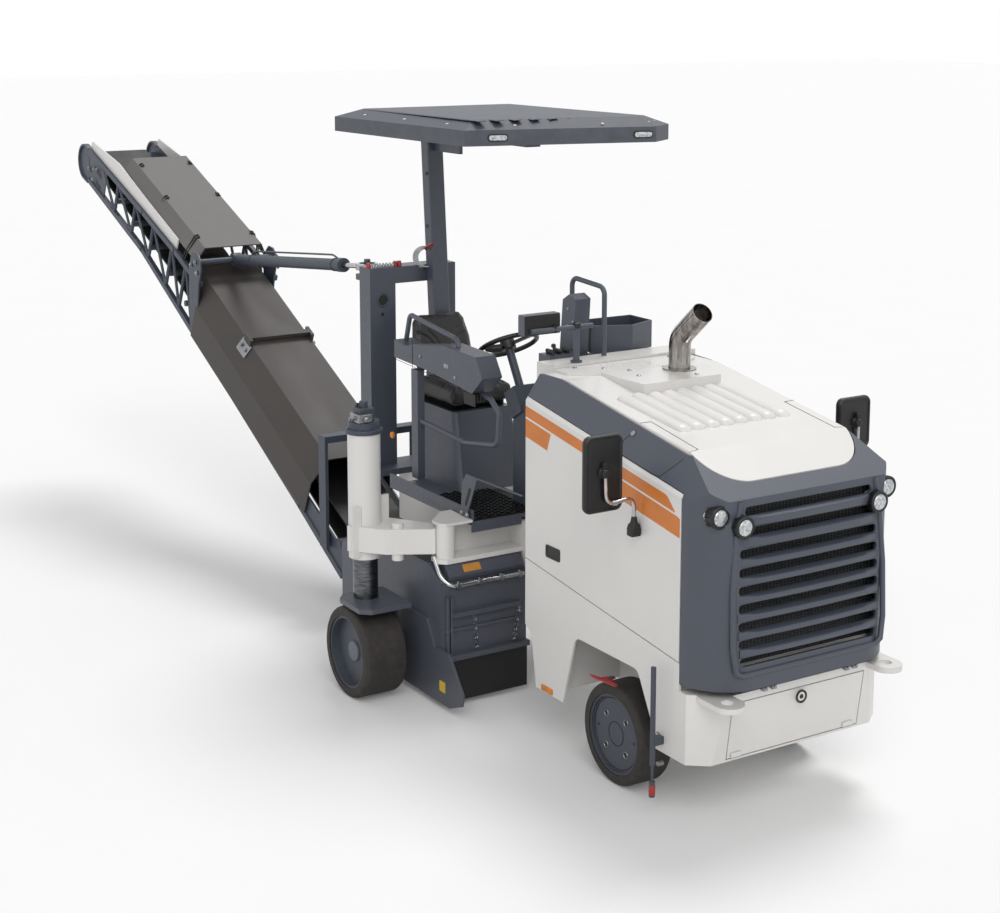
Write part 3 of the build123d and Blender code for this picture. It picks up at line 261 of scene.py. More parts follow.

# %% [markdown]
# ### Tyres, lamp glass and mesh
# The tread of a solid tyre scrubs into fine lines round its girth, and its wall stays matt.
# Patches of two close shades of rubber read as that scrubbing, and they turn with the wheel,
# because they use the object's own coordinates. The lamps and the radiator need patterns that
# no grain gives: facets of pressed glass, and strands of a mesh.

# %% Lamp glass and the grille's mesh


def lamp_glass():
    """Moulded polycarbonate over a bright reflector: pale, glossy, with fine prisms."""
    tree, shader, place = begin("lamp_lens")
    prisms = add(tree, "TexVoronoi", {"Vector": place, "Scale": per_mm(11)})
    facet = add(tree, "SeparateColor", {"Color": prisms.outputs["Color"]})
    tone = add(tree, "Mix", {"Factor": facet, 6: colour("#9A9FA3"), 7: colour("#DDE0E1")}, data_type="RGBA")
    bump = add(tree, "Bump", {"Height": prisms, "Strength": 0.5, "Distance": 0.001})
    feed(tree, shader, {"Base Color": tone, "Normal": bump, "Roughness": 0.08, "Metallic": 0.4,
        "Coat Weight": 0.8})
    return finishes["lamp_lens"]


def radiator_mesh():
    """Expanded black mesh behind the grille: 12 mm diamonds, the holes painted near black as shade and the
    strands painted paler as light lands on them.
    """
    tree, shader, place = begin("radiator_mesh")
    run = add(tree, "Mapping", {"Vector": place, "Scale": (1.0, 0.55, 1.0)})
    holes = add(tree, "TexVoronoi", {"Vector": run, "Scale": per_mm(13), "Randomness": 0.0})
    strand = add(tree, "MapRange", {"Value": holes, "From Min": 0.28, "From Max": 0.46})
    tone = add(tree, "Mix", {"Factor": strand, 6: colour("#060607"), 7: colour("#3A3C40")}, data_type="RGBA")
    bump = add(tree, "Bump", {"Height": strand, "Strength": 0.8, "Distance": 0.003})
    feed(tree, shader, {"Base Color": tone, "Normal": bump, "Roughness": 0.5})
    return finishes["radiator_mesh"]


lamp_lens = lamp_glass()
grille_wire = radiator_mesh()

# %% [markdown]
# ### Dressing the CAD parts
# Parts whose shape is already right keep it and only get a finish. Each object's material
# slots are filled from a table of node names.

# %% Assign finishes to the frame's parts
wears = {
    white_enamel: "bumper bumper_door chassis_front chassis_rear entry_step fenders hood_top lift_columns "
    "rear_bulkhead side_panels swing_arm conveyor_strips",
    slate_enamel: "cowl console_right dashboard gantry canopy_mast handrails grab_hoop side_plate valve_box "
    "drum_gate drum_housing display platform_floor seat_pedestal leg_left leg_right",
    frame_enamel: "conveyor_frame conveyor_swivel lift_cylinder front_axle_beam knuckle_left knuckle_right "
    "front_left_rim front_right_rim rear_left_rim rear_right_rim engine_block steering_column " "aiming_rod",
    cover_sheet: "conveyor_cover", black_rubber: "rubber_flap conveyor_belt",
    tyre_rubber: "front_left_tyre front_right_tyre rear_left_tyre rear_right_tyre",
    exhaust_steel: "exhaust_pipe", hard_chrome: "lift_rod", worn_steel: "milling_drum",
    black_plastic: "steering_wheel mirrors", canopy_abs: "canopy_roof", lamp_lens: "headlights",
    grille_wire: "grille_mesh", seat_vinyl: "seat_back seat_cushion",}
for finish, names in wears.items():
    for name in names.split():
        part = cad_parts[name]
        if not part.material_slots:
            part.data.materials.append(finish)
        for socket in part.material_slots:
            socket.material = finish
print("dressed", sum(len(n.split()) for n in wears.values()), "parts")

# %% [markdown]
# ## Small hardware
# Every added piece starts in bmesh, Blender's mesh editing kit. A few helpers make the shapes
# that metalwork is made of: plates cut to an outline, turned parts, bent tube and screws.
# Each piece is then put on the body it moves with.

# %% Shape helpers
X, Y, Z = Vector((1, 0, 0)), Vector((0, 1, 0)), Vector((0, 0, 1))


def put(name, mesh, finish, body="machine", slot=None, smooth=0.0, bevel=0.0):
    """Make an object of a bmesh, dress it, and set it riding on a body."""
    bmesh.ops.recalc_face_normals(mesh, faces=mesh.faces)
    data = bpy.data.meshes.new(name)
    if smooth:
        for face in mesh.faces:
            face.smooth = True
        for edge in mesh.edges:
            if len(edge.link_faces) == 2 and edge.calc_face_angle(0.0) > math.radians(smooth):
                edge.smooth = False
    mesh.to_mesh(data)
    mesh.free()
    piece = bpy.data.objects.new(name, data)
    bpy.context.scene.collection.objects.link(piece)
    data.materials.append(finish)
    if bevel:
        soft = piece.modifiers.new("bevel", "BEVEL")
        soft.width = bevel / 1000
        soft.segments = 2
        soft.limit_method = "ANGLE"
    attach(piece, body)
    return piece


def square_frame(axis):
    """Two directions square to an axis."""
    axis = Vector(axis).normalized()
    side = axis.cross(Z if abs(axis.z) < 0.9 else X).normalized()
    return axis, side, axis.cross(side)


def circle(count, first=0.0):
    """Cosine and sine of equal steps round a circle."""
    return [(math.cos(a), math.sin(a)) for a in (first + 2 * math.pi * i / count for i in range(count))]


def skin(mesh, loops, ends=True):
    """Faces from each loop of points to the next, with the two ends closed or left open."""
    for one, two in zip(loops, loops[1:]):
        for i in range(len(one)):
            j = (i + 1) % len(one)
            mesh.faces.new((one[i], one[j], two[j], two[i]))
    if ends:
        mesh.faces.new(loops[0][::-1])
        mesh.faces.new(loops[-1])


def plate(mesh, outline, thick):
    """A plate: an outline of scene points, pushed through by a vector."""
    low, high = ([mesh.verts.new(Vector(p) + push) for p in outline] for push in (X * 0, thick))
    mesh.faces.new(low[::-1])
    mesh.faces.new(high)
    skin(mesh, [low, high], ends=False)


def block(mesh, x, y, z):
    """A square bar or lug from its (low, high) sizes in millimetres along each axis."""
    plate(mesh, [at(x[0], y[0], z[0]), at(x[1], y[0], z[0]), at(x[1], y[1], z[0]), at(x[0], y[1], z[0])],
        Z * (z[1] - z[0]) * 0.001)


def turned(mesh, centre, axis, profile, steps=24):
    """A turned part: (distance along the axis, radius) pairs in millimetres, closed at its ends."""
    axis, side, up = square_frame(axis)
    skin(mesh, [[mesh.verts.new(centre + axis * along * 0.001 + (side * c + up * s) * radius * 0.001) for c,
        s in circle(steps)] for along, radius in profile])


def ring(mesh, centre, axis, radius, wire, steps=32, sides=8):
    """A round wire ring, sizes in millimetres."""
    axis, side, up = square_frame(axis)
    loops = [[mesh.verts.new(centre + (side * c + up * s) * (radius + wire * out) * 0.001
        + axis * wire * rise * 0.001) for out, rise in circle(sides)] for c, s in circle(steps)]
    skin(mesh, loops + loops[:1], ends=False)


def rod(mesh, points, radius, sides=10):
    """A bent bar through a few scene points, with a mitre at each bend, radius in millimetres."""
    loops = []
    side = None
    for i, point in enumerate(points):
        before = (point - points[i - 1]).normalized() if i else (points[1] - point).normalized()
        after = (points[i + 1] - point).normalized() if i + 1 < len(points) else before
        run = (before + after).normalized()
        side = square_frame(run)[1] if side is None else (side - run * side.dot(run)).normalized()
        up = run.cross(side)
        mitre = 1.0 / max(0.5, run.dot(before))
        loops.append([mesh.verts.new(point + (side * c + up * s) * radius * 0.001 * mitre) for c,
            s in circle(sides)])
    skin(mesh, loops)


def rounded(points, radius, steps=4):
    """The same path with each corner of a bent bar turned on a radius in millimetres."""
    path = [points[0]]
    for before, corner, after in zip(points, points[1:], points[2:]):
        come, go = (before - corner), (after - corner)
        reach = min(radius * 0.001, come.length * 0.45, go.length * 0.45)
        start, end = corner + come.normalized() * reach, corner + go.normalized() * reach
        for i in range(steps + 1):
            t = i / steps
            path.append(start * (1 - t) ** 2 + corner * 2 * t * (1 - t) + end * t ** 2)
    path.append(points[-1])
    return path


def screw(mesh, place, axis, across=19, high=9):
    """A hexagon screw on its washer, sizes in millimetres."""
    turned(mesh, place, axis, ((-1, across * 0.85), (2, across * 0.85)), 16)
    turned(mesh, place, axis, ((2, across * 0.55), (high - 2, across * 0.55), (high, across * 0.47)), 6)


def rounded_corners(width, height, radius, steps=5):
    """A rounded rectangle as (across, up) pairs in millimetres about its middle."""
    spots = []
    for cx, cy, start in ((1, 1, 0), (-1, 1, 90), (-1, -1, 180), (1, -1, 270)):
        for i in range(steps + 1):
            a = math.radians(start + 90 * i / steps)
            spots.append((cx * (width / 2 - radius) + radius * math.cos(a),
                cy * (height / 2 - radius) + radius * math.sin(a)))
    return spots


def layered(mesh, centre, across, up, out, layers):
    """A moulded shell: rounded rectangles (width, height, radius, distance out) joined in turn."""
    skin(mesh, [[mesh.verts.new(centre + (across * a + up * b + out * far) * 0.001) for a,
        b in rounded_corners(width, height, radius)] for width, height, radius, far in layers])


def fit(name, finish, *shapes, **rides):
    """One piece made of several shapes, each given as its helper and its sizes."""
    mesh = bmesh.new()
    for shape, *sizes in shapes:
        shape(mesh, *sizes)
    return put(name, mesh, finish, **rides)


print("shape helpers ready")

# %% [markdown]
# ## Stripes and details of the hood
# The two orange bands run parallel to the shoulder crease, which falls 0.163 for each
# millimetre forward. They are film only a fraction of a millimetre thick, cut with slanted
# ends. Geometry keeps their edges crisp from any distance, where a texture would blur.

# %% Orange bands
crease_start, crease_fall = 1970.0, 0.163


def crease(x):
    """Height of the shoulder crease at x."""
    return crease_start - crease_fall * (x + 830.0)


# columns: name, (x, drop below the crease) corners
bands = (("band_upper", ((-829, 31), (470, 27), (490, 34), (553, 88), (548, 91), (-829, 91))),
    ("band_lower_rear", ((-829, 104), (-575, 104), (-611, 208), (-829, 208))), ("band_lower_front",
    ((-70, 103), (572, 103), (592, 110), (592, 207), (-106, 207))),)
for name, corners in bands:
    for side, word in ((-1, "right"), (1, "left")):
        mesh = bmesh.new()
        outline = [at(x, side * (body_side + 0.1), crease(x) - drop) for x, drop in corners]
        plate(mesh, outline, Vector((0, side * 0.0009, 0)))
        put(f"{name}_{word}", mesh, orange_film, "hood")
print("bands", 2 * len(bands))

# %% [markdown]
# The roof panel is stiffened by eight pressed ribs. A pressed rib is a long bump with round
# ends that melts into the sheet. Each is a row of arched sections that sink to nothing at
# both ends, lying on the sloping sheet.

# %% Pressed ribs on the roof
roof_fall = (2110.0 - 1940.0) / (509.0 + 580.0)


def roof(x):
    """Height of the white roof panel at x."""
    return 2110.0 - roof_fall * (x + 580.0)


rib_rear, rib_run, rib_end = -268, 550, 34
mesh = bmesh.new()
for i in range(8):
    rows = []
    for t in (step / 24 for step in range(25)):
        x, middle = rib_rear + rib_run * t, -392 + i * 95.0 + 36 * t
        end = min(1.0, min(t, 1 - t) * rib_run / rib_end)
        swell = math.sqrt(max(0.0, 1 - (1 - end) ** 2))
        rows.append([mesh.verts.new(at(x, middle + 46 * math.cos(a) * (0.35 + 0.65 * swell),
            roof(x) - 3 + 30 * math.sin(a) * swell)) for a in (math.pi * k / 10 for k in range(11))])
    skin(mesh, rows)
put("roof_ribs", mesh, white_enamel, "hood", smooth=50)
print("roof falls", round(math.degrees(math.atan(roof_fall)), 1), "degrees to the front")

# %% Hatch seams, deck screws and grip dots
shoulder_seams = (((78, 545), (34, 586), (34, 628)), ((34, 628), (340, 628), (395, 620), (486, 545)))
# columns: x, y, height over the roof panel
roof_seam = ((88, 522, 0.3), (92, 455, 0.3), (494, 459, 0.3), (508, 522, -1))
seam_r = 1.5
seams = bmesh.new()
for side in (-1, 1):
    for line in shoulder_seams:
        rod(seams, [at(x, side * y, crease(x) + 1.5 * (body_side - y) + 0.4) for x, y in line], seam_r, 6)
    rod(seams, [at(x, side * y, roof(x) + rise) for x, y, rise in roof_seam], seam_r, 6)
put("hatch_seams", seams, black_rubber, "hood")
mesh = bmesh.new()
for x, y in ((-800, -330), (-699, -200), (-577, -110), (-435, -150), (-560, 120), (-790, 330), (-300, 150)):
    turned(mesh, at(x, y, 2124), Z, ((0, 13), (4, 13), (7, 9)), 12)
for side in (-1, 1):
    turned(mesh, at(74, side * 556, crease(74) + 129), Vector((0.1, side * 0.8, 0.55)), ((-4, 15), (5, 15),
        (7, 11)), 16)
put("deck_screws", mesh, zinc_plate, "hood", smooth=40)
mesh = bmesh.new()
for i in range(9):
    for k in range(13):
        turned(mesh, at(-790 + i * 24 + (k % 2) * 12, -160 + k * 24, 2124.5), Z, ((0, 7), (2.4, 5)), 8)
put("grip_dots", mesh, white_enamel, "hood")
print("hatch seams", 2 * (len(shoulder_seams) + 1))

# %% [markdown]
# ## Grab recess, hood hinges and the lamps
# The grab recess is a black moulded cup let into the side skin. Around each lamp sits a
# ribbed black housing, and the lens is domed. Turned profiles give both.

# %% Grab recesses
for side, word in ((-1, "right"), (1, "left")):
    mesh = bmesh.new()
    centre = at(-546, side * body_side, 1154)
    layered(mesh, centre, X, Z, Vector((0, side, 0)), ((142, 72, 12, -1), (142, 72, 12, 4), (134, 64, 10, 5),
        (116, 46, 8, 4), (112, 42, 7, 0.5)))
    put(f"grab_recess_{word}", mesh, black_plastic, "hood", smooth=40)
print("grab recess at", tuple(round(v, 3) for v in centre))

# %% Hood hinges and bumper-door hinges
mesh = bmesh.new()
for y in (-257, -199, 297, 352):
    block(mesh, (800, 826), (y - 14, y + 14), (728, 766))
    screw(mesh, at(826, y, 748), X, 15, 10)
hinges = put("hood_hinges", mesh, zinc_plate, smooth=30)
mesh = bmesh.new()
for y in (-385, 370):
    layered(mesh, at(757, y, 396), Y, Z, X, ((66, 22, 3, -2), (66, 22, 3, 3), (60, 16, 2, 4)))
    turned(mesh, at(757, y - 34, 385), Y, ((0, 5), (68, 5)), 10)
put("locker_hinges", mesh, white_enamel, "bumper_door", smooth=40)
print("hood hinge faces", len(hinges.data.polygons))

# %% [markdown]
# The grille's bars are louvres: each stands proud of the nose with a rounded upper lip that
# catches the light, and a raised bead frames the whole field. Sections swept across the nose
# give both, bowed a little forward at the middle.

# %% Louvres and their frame
# columns: height of a slot's middle, half its width
slots = ((1690, 418), (1585, 440), (1477, 452), (1382, 458), (1290, 462), (1199, 464), (1107, 464),
    (1016, 460), (924, 452))


def nose(z):
    """How far forward the nose's face stands at z."""
    return 822 + (1752 - z) * 0.0459


mesh = bmesh.new()
for (z_high, half_high), (z_low, half_low) in zip(slots, slots[1:]):
    top, foot = z_high - 23, z_low + 23
    tall, half = top - foot, min(half_high, half_low) + 6
    rows = []
    for i in range(17):
        y = -half + 2 * half * i / 16
        swell = min(1.0, min(i, 16 - i) / 1.5)
        bow = 16 * (1 - (y / half) ** 2)
        shape = ((-6, 0), (6 + bow, 1), (19 + bow, 0.16 * tall), (21 + bow, 0.36 * tall),
            (12 + bow, 0.8 * tall), (-6, tall))
        rows.append([mesh.verts.new(at(nose(top - down) + (out if out < 0 else out * swell), y, top - down))
            for out, down in shape])
    skin(mesh, rows)
put("grille_louvres", mesh, slate_enamel, "hood", smooth=35)
mesh = bmesh.new()
for side in (-1, 1):
    edge = [(446, 1742), (474, 1600), (500, 1290), (502, 1000), (484, 880), (452, 858)]
    rod(mesh, [at(nose(z) - 1, side * y, z) for y, z in edge], 15, 10)
rod(mesh, [at(nose(858) - 1, y, 858) for y in (-452, 0, 452)], 15, 10)
put("grille_frame", mesh, slate_enamel, "hood", smooth=60)
print("louvres", len(slots) - 1)

# %% Lamps and the rear-view camera
# columns: x of the lens, y, z
lamps = ((792, 556, 1674), (850, 446, 1622))
bezels, lenses = bmesh.new(), bmesh.new()
for x, y, z in lamps:
    for side in (-1, 1):
        place = at(x, side * y, z)
        turned(bezels, place, X, ((-62, 30), (-52, 50), (-8, 58), (14, 58), (18, 54), (17, 43), (8, 42)), 32)
        for c, s in circle(8):
            spoke = Vector((0, c, s))
            plate(bezels, [place + spoke * 0.050 + X * d for d in (-0.046, -0.010)] + [place + spoke * 0.062
                + X * d for d in (-0.012, -0.044)], spoke.cross(X) * 0.004)
        turned(lenses, place, X, ((12, 43), (17, 42), (21, 36), (24, 26), (26, 12), (26.5, 2)), 32)
put("lamp_bezels", bezels, black_plastic, "hood", slot="lamp", smooth=35)
put("lamp_lenses", lenses, lamp_lens, "hood", smooth=60)
mesh = bmesh.new()
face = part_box("bumper_door")[1].x
turned(mesh, Vector((face - 0.004, AXLE.y, 0.640)), X, ((0, 36), (8, 35), (10, 30), (4, 24), (3, 12)), 32)
put("camera_housing", mesh, black_plastic, "bumper_door", smooth=35)
fit("camera_lens", screen_glass, (turned, Vector((face - 0.001, AXLE.y, 0.640)), X, ((0, 13), (4, 11), (6, 6),
    (6.5, 1)), 24), body="bumper_door", smooth=60)
print("lamps", 2 * len(lamps))

# %% [markdown]
# ## Mirrors
# Each mirror is a blow-moulded black shell with a raised bead round its back, held by a bent
# tube from a rubber-booted foot. The CAD stand-ins are plain, so new pieces replace them.
# Stacked rounded rectangles make the shell: each layer is a little smaller and further out.

# %% Mirror shells and arms
# columns: word, side, height of the shell, middle height
mirrors = (("right", -1, 405, 1809.5), ("left", 1, 300, 1862))
for word, side, tall, middle in mirrors:
    fit(f"mirror_shell_{word}", black_plastic, (layered, at(196, side * 850, middle), Y,
        Z, X, ((214, tall - 22, 26, 0), (214, tall - 22, 26, 3), (230, tall - 6, 36, 3.5), (236, tall, 40,
        14), (236, tall, 40, 24), (228, tall - 8, 36, 33), (214, tall - 22, 30, 37), (206, tall - 30, 26, 36),
        (198, tall - 38, 22, 31), (120, tall - 120, 20, 33), (60, tall - 190, 16, 33.5))), body="hood",
        smooth=38)
    fit(f"mirror_glass_{word}", hard_chrome, (layered, at(195.4, side * 850, middle), Y, Z, X * -1,
        ((212, tall - 24, 26, -2), (212, tall - 24, 26, 0.2), (206, tall - 30, 24, 0.5))), body="hood")
    arm = bmesh.new()
    foot_z, elbow_z = 1520, 1670 if side < 0 else 1700
    path = [at(249, side * 674, foot_z), at(249, side * 674, elbow_z), at(252, side * 852, elbow_z - 18),
        at(250, side * 858, middle + 28)]
    rod(arm, rounded(path, 60, 6), 11, 12)
    turned(arm, at(250, side * 800, elbow_z - 14), Y, ((-14, 15), (14, 15)), 12)
    put(f"mirror_arm_{word}", arm, hard_chrome, "hood", smooth=50)
    fit(f"mirror_knuckle_{word}", black_rubber, (turned, at(226, side * 858, middle + 6), X,
        ((0, 32), (10, 32), (18, 25), (34, 22), (38, 16)), 24), (layered, at(236, side * 858, middle + 40), Y,
        Z, X, ((24, 44, 6, -8), (24, 44, 6, 14), (18, 38, 5, 18))), body="hood", smooth=40)
    fit(f"mirror_boot_{word}", black_rubber, (layered, at(249, side * 673, 1462), X, Y, Z, ((40, 48, 8, 0),
        (56, 60, 12, 4), (56, 62, 12, 40), (50, 54, 14, 60), (36, 36, 14, 72), (28, 28, 12, 96),
        (26, 26, 11, 104))), body="hood", smooth=40)
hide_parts("mirrors")
print("mirrors", len(mirrors))

# %% [markdown]
# ## Wheels
# The front wheels carry pressed steel discs: a groove near the rim, a ring of wheel screws, and
# lightening holes. The rear wheels show a hub cap deep in the dish. Each set rides on its own
# wheel, so that it turns with it.

# %% Wheel discs
for body, out in (("wheel_front_right", -1), ("wheel_front_left", 1)):
    centre = at(0, out * 592, axle_z)
    axis = Y * out
    # the black rings and discs on each wheel disc are painted shade: the grooves and the holes drawn as dark
    # marks
    recess_shade = bmesh.new()
    ring(recess_shade, centre + axis * 0.0006, axis, 196, 2.2, 48, 6)
    ring(recess_shade, centre + axis * 0.0006, axis, 66, 2.2, 32, 6)
    holes = [centre + Vector((c, 0, s)) * 0.128 for c, s in circle(4, math.pi / 4)]
    for hole in holes:
        turned(recess_shade, hole, axis, ((-1, 17), (1, 16.5)), 20)
    for hole in (centre + X * 0.162, centre - X * 0.162):
        turned(recess_shade, hole, axis, ((-1, 9), (1, 8.5)), 14)
    put(f"{body}_shaded_recesses", recess_shade, black_rubber, body)
    screws = bmesh.new()
    for hole in holes:
        ring(screws, hole + axis * 0.001, axis, 18, 2.4, 20, 6)
    put(f"{body}_grommets", screws, zinc_plate, body, smooth=50)
for body, y, out in (("wheel_rear_right", -1120, -1), ("wheel_rear_left", 502, 1)):
    fit(f"{body}_cap", hub_enamel, (turned, at(leg_x, y + out * 82, axle_z), Y * out, ((-14, 64), (6, 64),
        (12, 60), (14, 40), (14.5, 4)), 40), body=body, smooth=30)
print("wheel sets", 4)

# %% [markdown]
# ## Seat
# Seat cushions are moulded foam under stitched vinyl. Blown up gently by a cloth simulation, a
# closed shell gets the crown and pulled-in sides of real upholstery. The sewn channels come
# afterwards, pressed into the surface along curves, because the remesh would erase them.

# %% Upholstery


cloth_steps = 20


def soften(piece, cap_mm, voxel=0.006):
    """Remesh, inflate as cloth, and cap how far each point may move."""
    view = bpy.context.view_layer
    remesh = piece.modifiers.new("remesh", "REMESH")
    remesh.mode = "VOXEL"
    remesh.voxel_size = voxel
    view.objects.active = piece
    piece.select_set(True)
    bpy.ops.object.modifier_apply(modifier="remesh")
    before = [v.co.copy() for v in piece.data.vertices]
    cloth = piece.modifiers.new("cloth", "CLOTH")
    cloth.settings.use_pressure = True
    cloth.settings.uniform_pressure_force = 4.0
    cloth.settings.effector_weights.gravity = 0.0
    cloth.point_cache.frame_start, cloth.point_cache.frame_end = 1, cloth_steps
    for step in range(1, cloth_steps + 1):
        bpy.context.scene.frame_set(step)
    bpy.ops.object.modifier_apply(modifier="cloth")
    bpy.context.scene.frame_set(1)
    for vertex, start in zip(piece.data.vertices, before):
        moved = vertex.co - start
        if moved.length > cap_mm / 1000:
            vertex.co = start + moved.normalized() * cap_mm / 1000
    smooth = piece.modifiers.new("settle", "SMOOTH")
    smooth.iterations = 6
    bpy.ops.object.modifier_apply(modifier="settle")
    piece.select_set(False)
    for polygon in piece.data.polygons:
        polygon.use_smooth = True


def sew(piece, across, up, facing, middle, seams_list, depth_mm=9.0, half_mm=7.0):
    """Press channels along polylines given in millimetres on the cushion's face."""
    for vertex, normal in [(v, v.normal.copy()) for v in piece.data.vertices]:
        if normal.dot(facing) < 0.3:
            continue
        here = vertex.co - middle
        a, b = here.dot(across) * 1000, here.dot(up) * 1000
        nearest = 1e9
        for line in seams_list:
            for (a0, b0), (a1, b1) in zip(line, line[1:]):
                da, db = a1 - a0, b1 - b0
                t = max(0.0, min(1.0, ((a - a0) * da + (b - b0) * db) / (da * da + db * db)))
                nearest = min(nearest, math.hypot(a - a0 - da * t, b - b0 - db * t))
        if nearest < half_mm * 2.5:
            vertex.co -= normal * depth_mm / 1000 * math.exp(-(nearest / half_mm) ** 2)


def pad(name, outline, thick, edge_mm, segments=4, smooth=0.0):
    """A closed pad with round edges, from its outline and a thickness vector."""
    mesh = bmesh.new()
    plate(mesh, outline, thick)
    bmesh.ops.bevel(mesh, geom=list(mesh.edges), offset=edge_mm / 1000, segments=segments, profile=0.6,
        affect="EDGES")
    return put(name, mesh, seat_vinyl, smooth=smooth)


squab_outline = ((-2664, -348), (-2154, -340), (-2154, 120), (-2664, 128))
squab = pad("seat_squab", [at(x, y, 1646) for x, y in squab_outline], Z * 0.098, 36)
soften(squab, 16)
face_lines = [[(-215, -190), (-215, 190)]]
for side in (-1, 1):
    face_lines.append([(-200, side * 150), (-60, side * 120), (120, side * 150), (215, side * 165)])
    face_lines.append([(-190, side * 66), (0, side * 52), (190, side * 66)])
sew(squab, X, Y, Z, at(-2410, -110, 1700), face_lines)
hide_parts("seat_cushion")

lean = (at(-2755, 0, 2150) - at(-2635, 0, 1764)).normalized()
front = Y.cross(lean).normalized()
outline = [(-205, 0), (205, 0), (222, 60), (222, 200), (196, 330), (160, 378), (-160, 378), (-196, 330),
    (-222, 200), (-222, 60)]
back_foot = at(-2668, -110, 1772)
backrest = pad("seat_backrest", [back_foot + Y * a * 0.001 + lean * b * 0.001 for a, b in outline],
    front * 0.066, 22, 3)
soften(backrest, 12)
back_lines = []
for side in (-1, 1):
    back_lines.append([(side * 24, 40), (side * 60, 130), (side * 120, 215), (side * 185, 255)])
    back_lines.append([(side * 70, 30), (side * 120, 110), (side * 190, 170)])
    back_lines.append([(side * 20, 120), (side * 60, 200), (side * 110, 262)])
sew(backrest, Y, lean, front, back_foot, back_lines, 7.0, 6.0)
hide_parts("seat_back")

arm_ends = ((-2560, -30, 1880), (-2300, -30, 1895), (-2300, 30, 1895), (-2560, 30, 1880))
for word, middle in (("right", -392), ("left", 172)):
    arm_pad = pad(f"armrest_{word}", [at(x, middle + y, z) for x, y, z in arm_ends], Z * 0.052, 20, smooth=80)
mesh = bmesh.new()
layers = [(430 - (i % 2) * 34, 400 - (i % 2) * 34, 40, i * 3.2) for i in range(13)]
layered(mesh, at(-2415, -110, 1603), X, Y, Z, layers)
put("seat_bellows", mesh, black_rubber, smooth=20)
print("seat vertices", len(squab.data.vertices), len(backrest.data.vertices))

# %% [markdown]
# ## Operator's platform
# The right half of the floor is a moulded honeycomb grating, and the left half is galvanised
# tread plate. Real holes and real lozenges are modelled, since they throw their own shadows.

# %% Honeycomb grating
cell, wall = 23.0, 4.0
floor_z, grating_z = 1105.5, 1121
mesh = bmesh.new()
for i in range(15):
    for k in range(13):
        x, y = -2040 + i * cell * 1.732 + (k % 2) * cell * 0.866, -598 + k * cell * 1.5
        if x > -1475 or y > -60:
            continue
        walls = ((cell, floor_z), (cell, grating_z), (cell - wall, grating_z), (cell - wall, floor_z))
        loops = [[mesh.verts.new(at(x + r * c, y + r * s, z)) for c, s in circle(6, math.pi / 6)] for r,
            z in walls]
        skin(mesh, loops + loops[:1], ends=False)
grating = put("floor_grating", mesh, black_plastic)
# a black sheet laid under the grating: painted shade seen through its holes
fit("grating_shade_sheet", black_rubber, (block, (-2060, -1456), (-612, -50), (1105.2, 1105.8)))
print("grating faces", len(grating.data.polygons))

# %% Tread plate with raised lozenges
pitch = 34
mesh = bmesh.new()
for x0, x1, y0, y1 in ((-1450, -862, 62, 618), (-2050, -1450, -44, 616)):
    block(mesh, (x0, x1), (y0, y1), (1105.2, 1107.2))
    for i in range(int((x1 - x0) / pitch)):
        for k in range(int((y1 - y0) / pitch)):
            x, y = x0 + 20 + i * pitch, y0 + 20 + k * pitch
            turn = math.radians(45 if (i + k) % 2 else -45)
            run = Vector((math.cos(turn), math.sin(turn), 0))
            wide = Vector((-run.y, run.x, 0))
            middle = at(x, y, 1107.2)
            base = [mesh.verts.new(middle + run * a + wide * b) for a, b in ((0.015, 0), (0, 0.0045),
                (-0.015, 0), (0, -0.0045))]
            crest = [mesh.verts.new(middle + run * a + Z * 0.0022) for a in (0.009, -0.009)]
            e, f, g, h, top_a, top_b = base + crest
            for facet in ((e, f, top_a), (f, g, top_b), (f, top_b, top_a), (g, h, top_b), (h, e, top_a),
                    (h, top_a, top_b), (h, g, f, e)):
                mesh.faces.new(facet)
treads = put("tread_plates", mesh, tread_plate)
print("tread plate faces", len(treads.data.polygons))

# %% Slotted bracket, gate rod and the console's fittings
mesh = bmesh.new()
bracket = ((-1566, 1120), (-1500, 1120), (-1372, 1392), (-1500, 1392), (-1545, 1330))
plate(mesh, [at(x, -634, z) for x, z in bracket], Y * 0.006)
rod(mesh, [at(-1380, -630, 1388), at(-880, -628, 1400)], 6, 8)
put("gate_bracket", mesh, slate_enamel)
# a thin black patch on the bracket: painted shade for the slot through it
fit("bracket_slot_shade", black_rubber, (layered, at(-1478, -634.5, 1255), (X * 0.42 + Z * 0.9).normalized(),
    (Z * 0.42 - X * 0.9).normalized(), Y * -1, ((130, 22, 10, -1), (130, 22, 10, 0.8))))
screws = bmesh.new()
for x in (-1566, -1500):
    screw(screws, at(x + 14, -634, 1142), Y * -1, 20, 10)
for x, z in ((-2230, 1975), (-1800, 1915)):
    screw(screws, at(x, -531, z), Y * -1, 14, 6)
put("platform_screws", screws, zinc_plate, smooth=30)
print("platform done")

# %% [markdown]
# ## Console, read-out and switch panel
# The armrest console is folded sheet with a slot for its catch, and a rubber boot hangs under
# its nose. The read-out is a rubber-edged case with tinted glass. Knobs are turned parts.

# %% Console details
fit("console_slot", zinc_plate, (layered, at(-1905, -530.5, 1968), X, Z, Y * -1, ((58, 26, 10, -1),
    (58, 26, 10, 1.4), (48, 16, 7, 1.6))), smooth=40)
mesh = bmesh.new()
for i in range(9):
    turned(mesh, at(-1640 + (i % 3) * 24, -500 + (i // 3) * 24, 1846), Z * -1, ((0, 8), (42, 9), (56, 6)), 10)
plate(mesh, [at(x, -532, z) for x, z in ((-1700, 1850), (-1560, 1850), (-1560, 1776), (-1690, 1776))],
    Y * 0.004)
put("console_boot", mesh, black_rubber, smooth=40)
fit("console_seams", black_rubber, (rod, [at(-2560, -531, 1905), at(-1720, -531, 1862)], seam_r, 6),
    (rod, [at(-2330, -531, 2070), at(-2330, -531, 1880)], seam_r, 6))

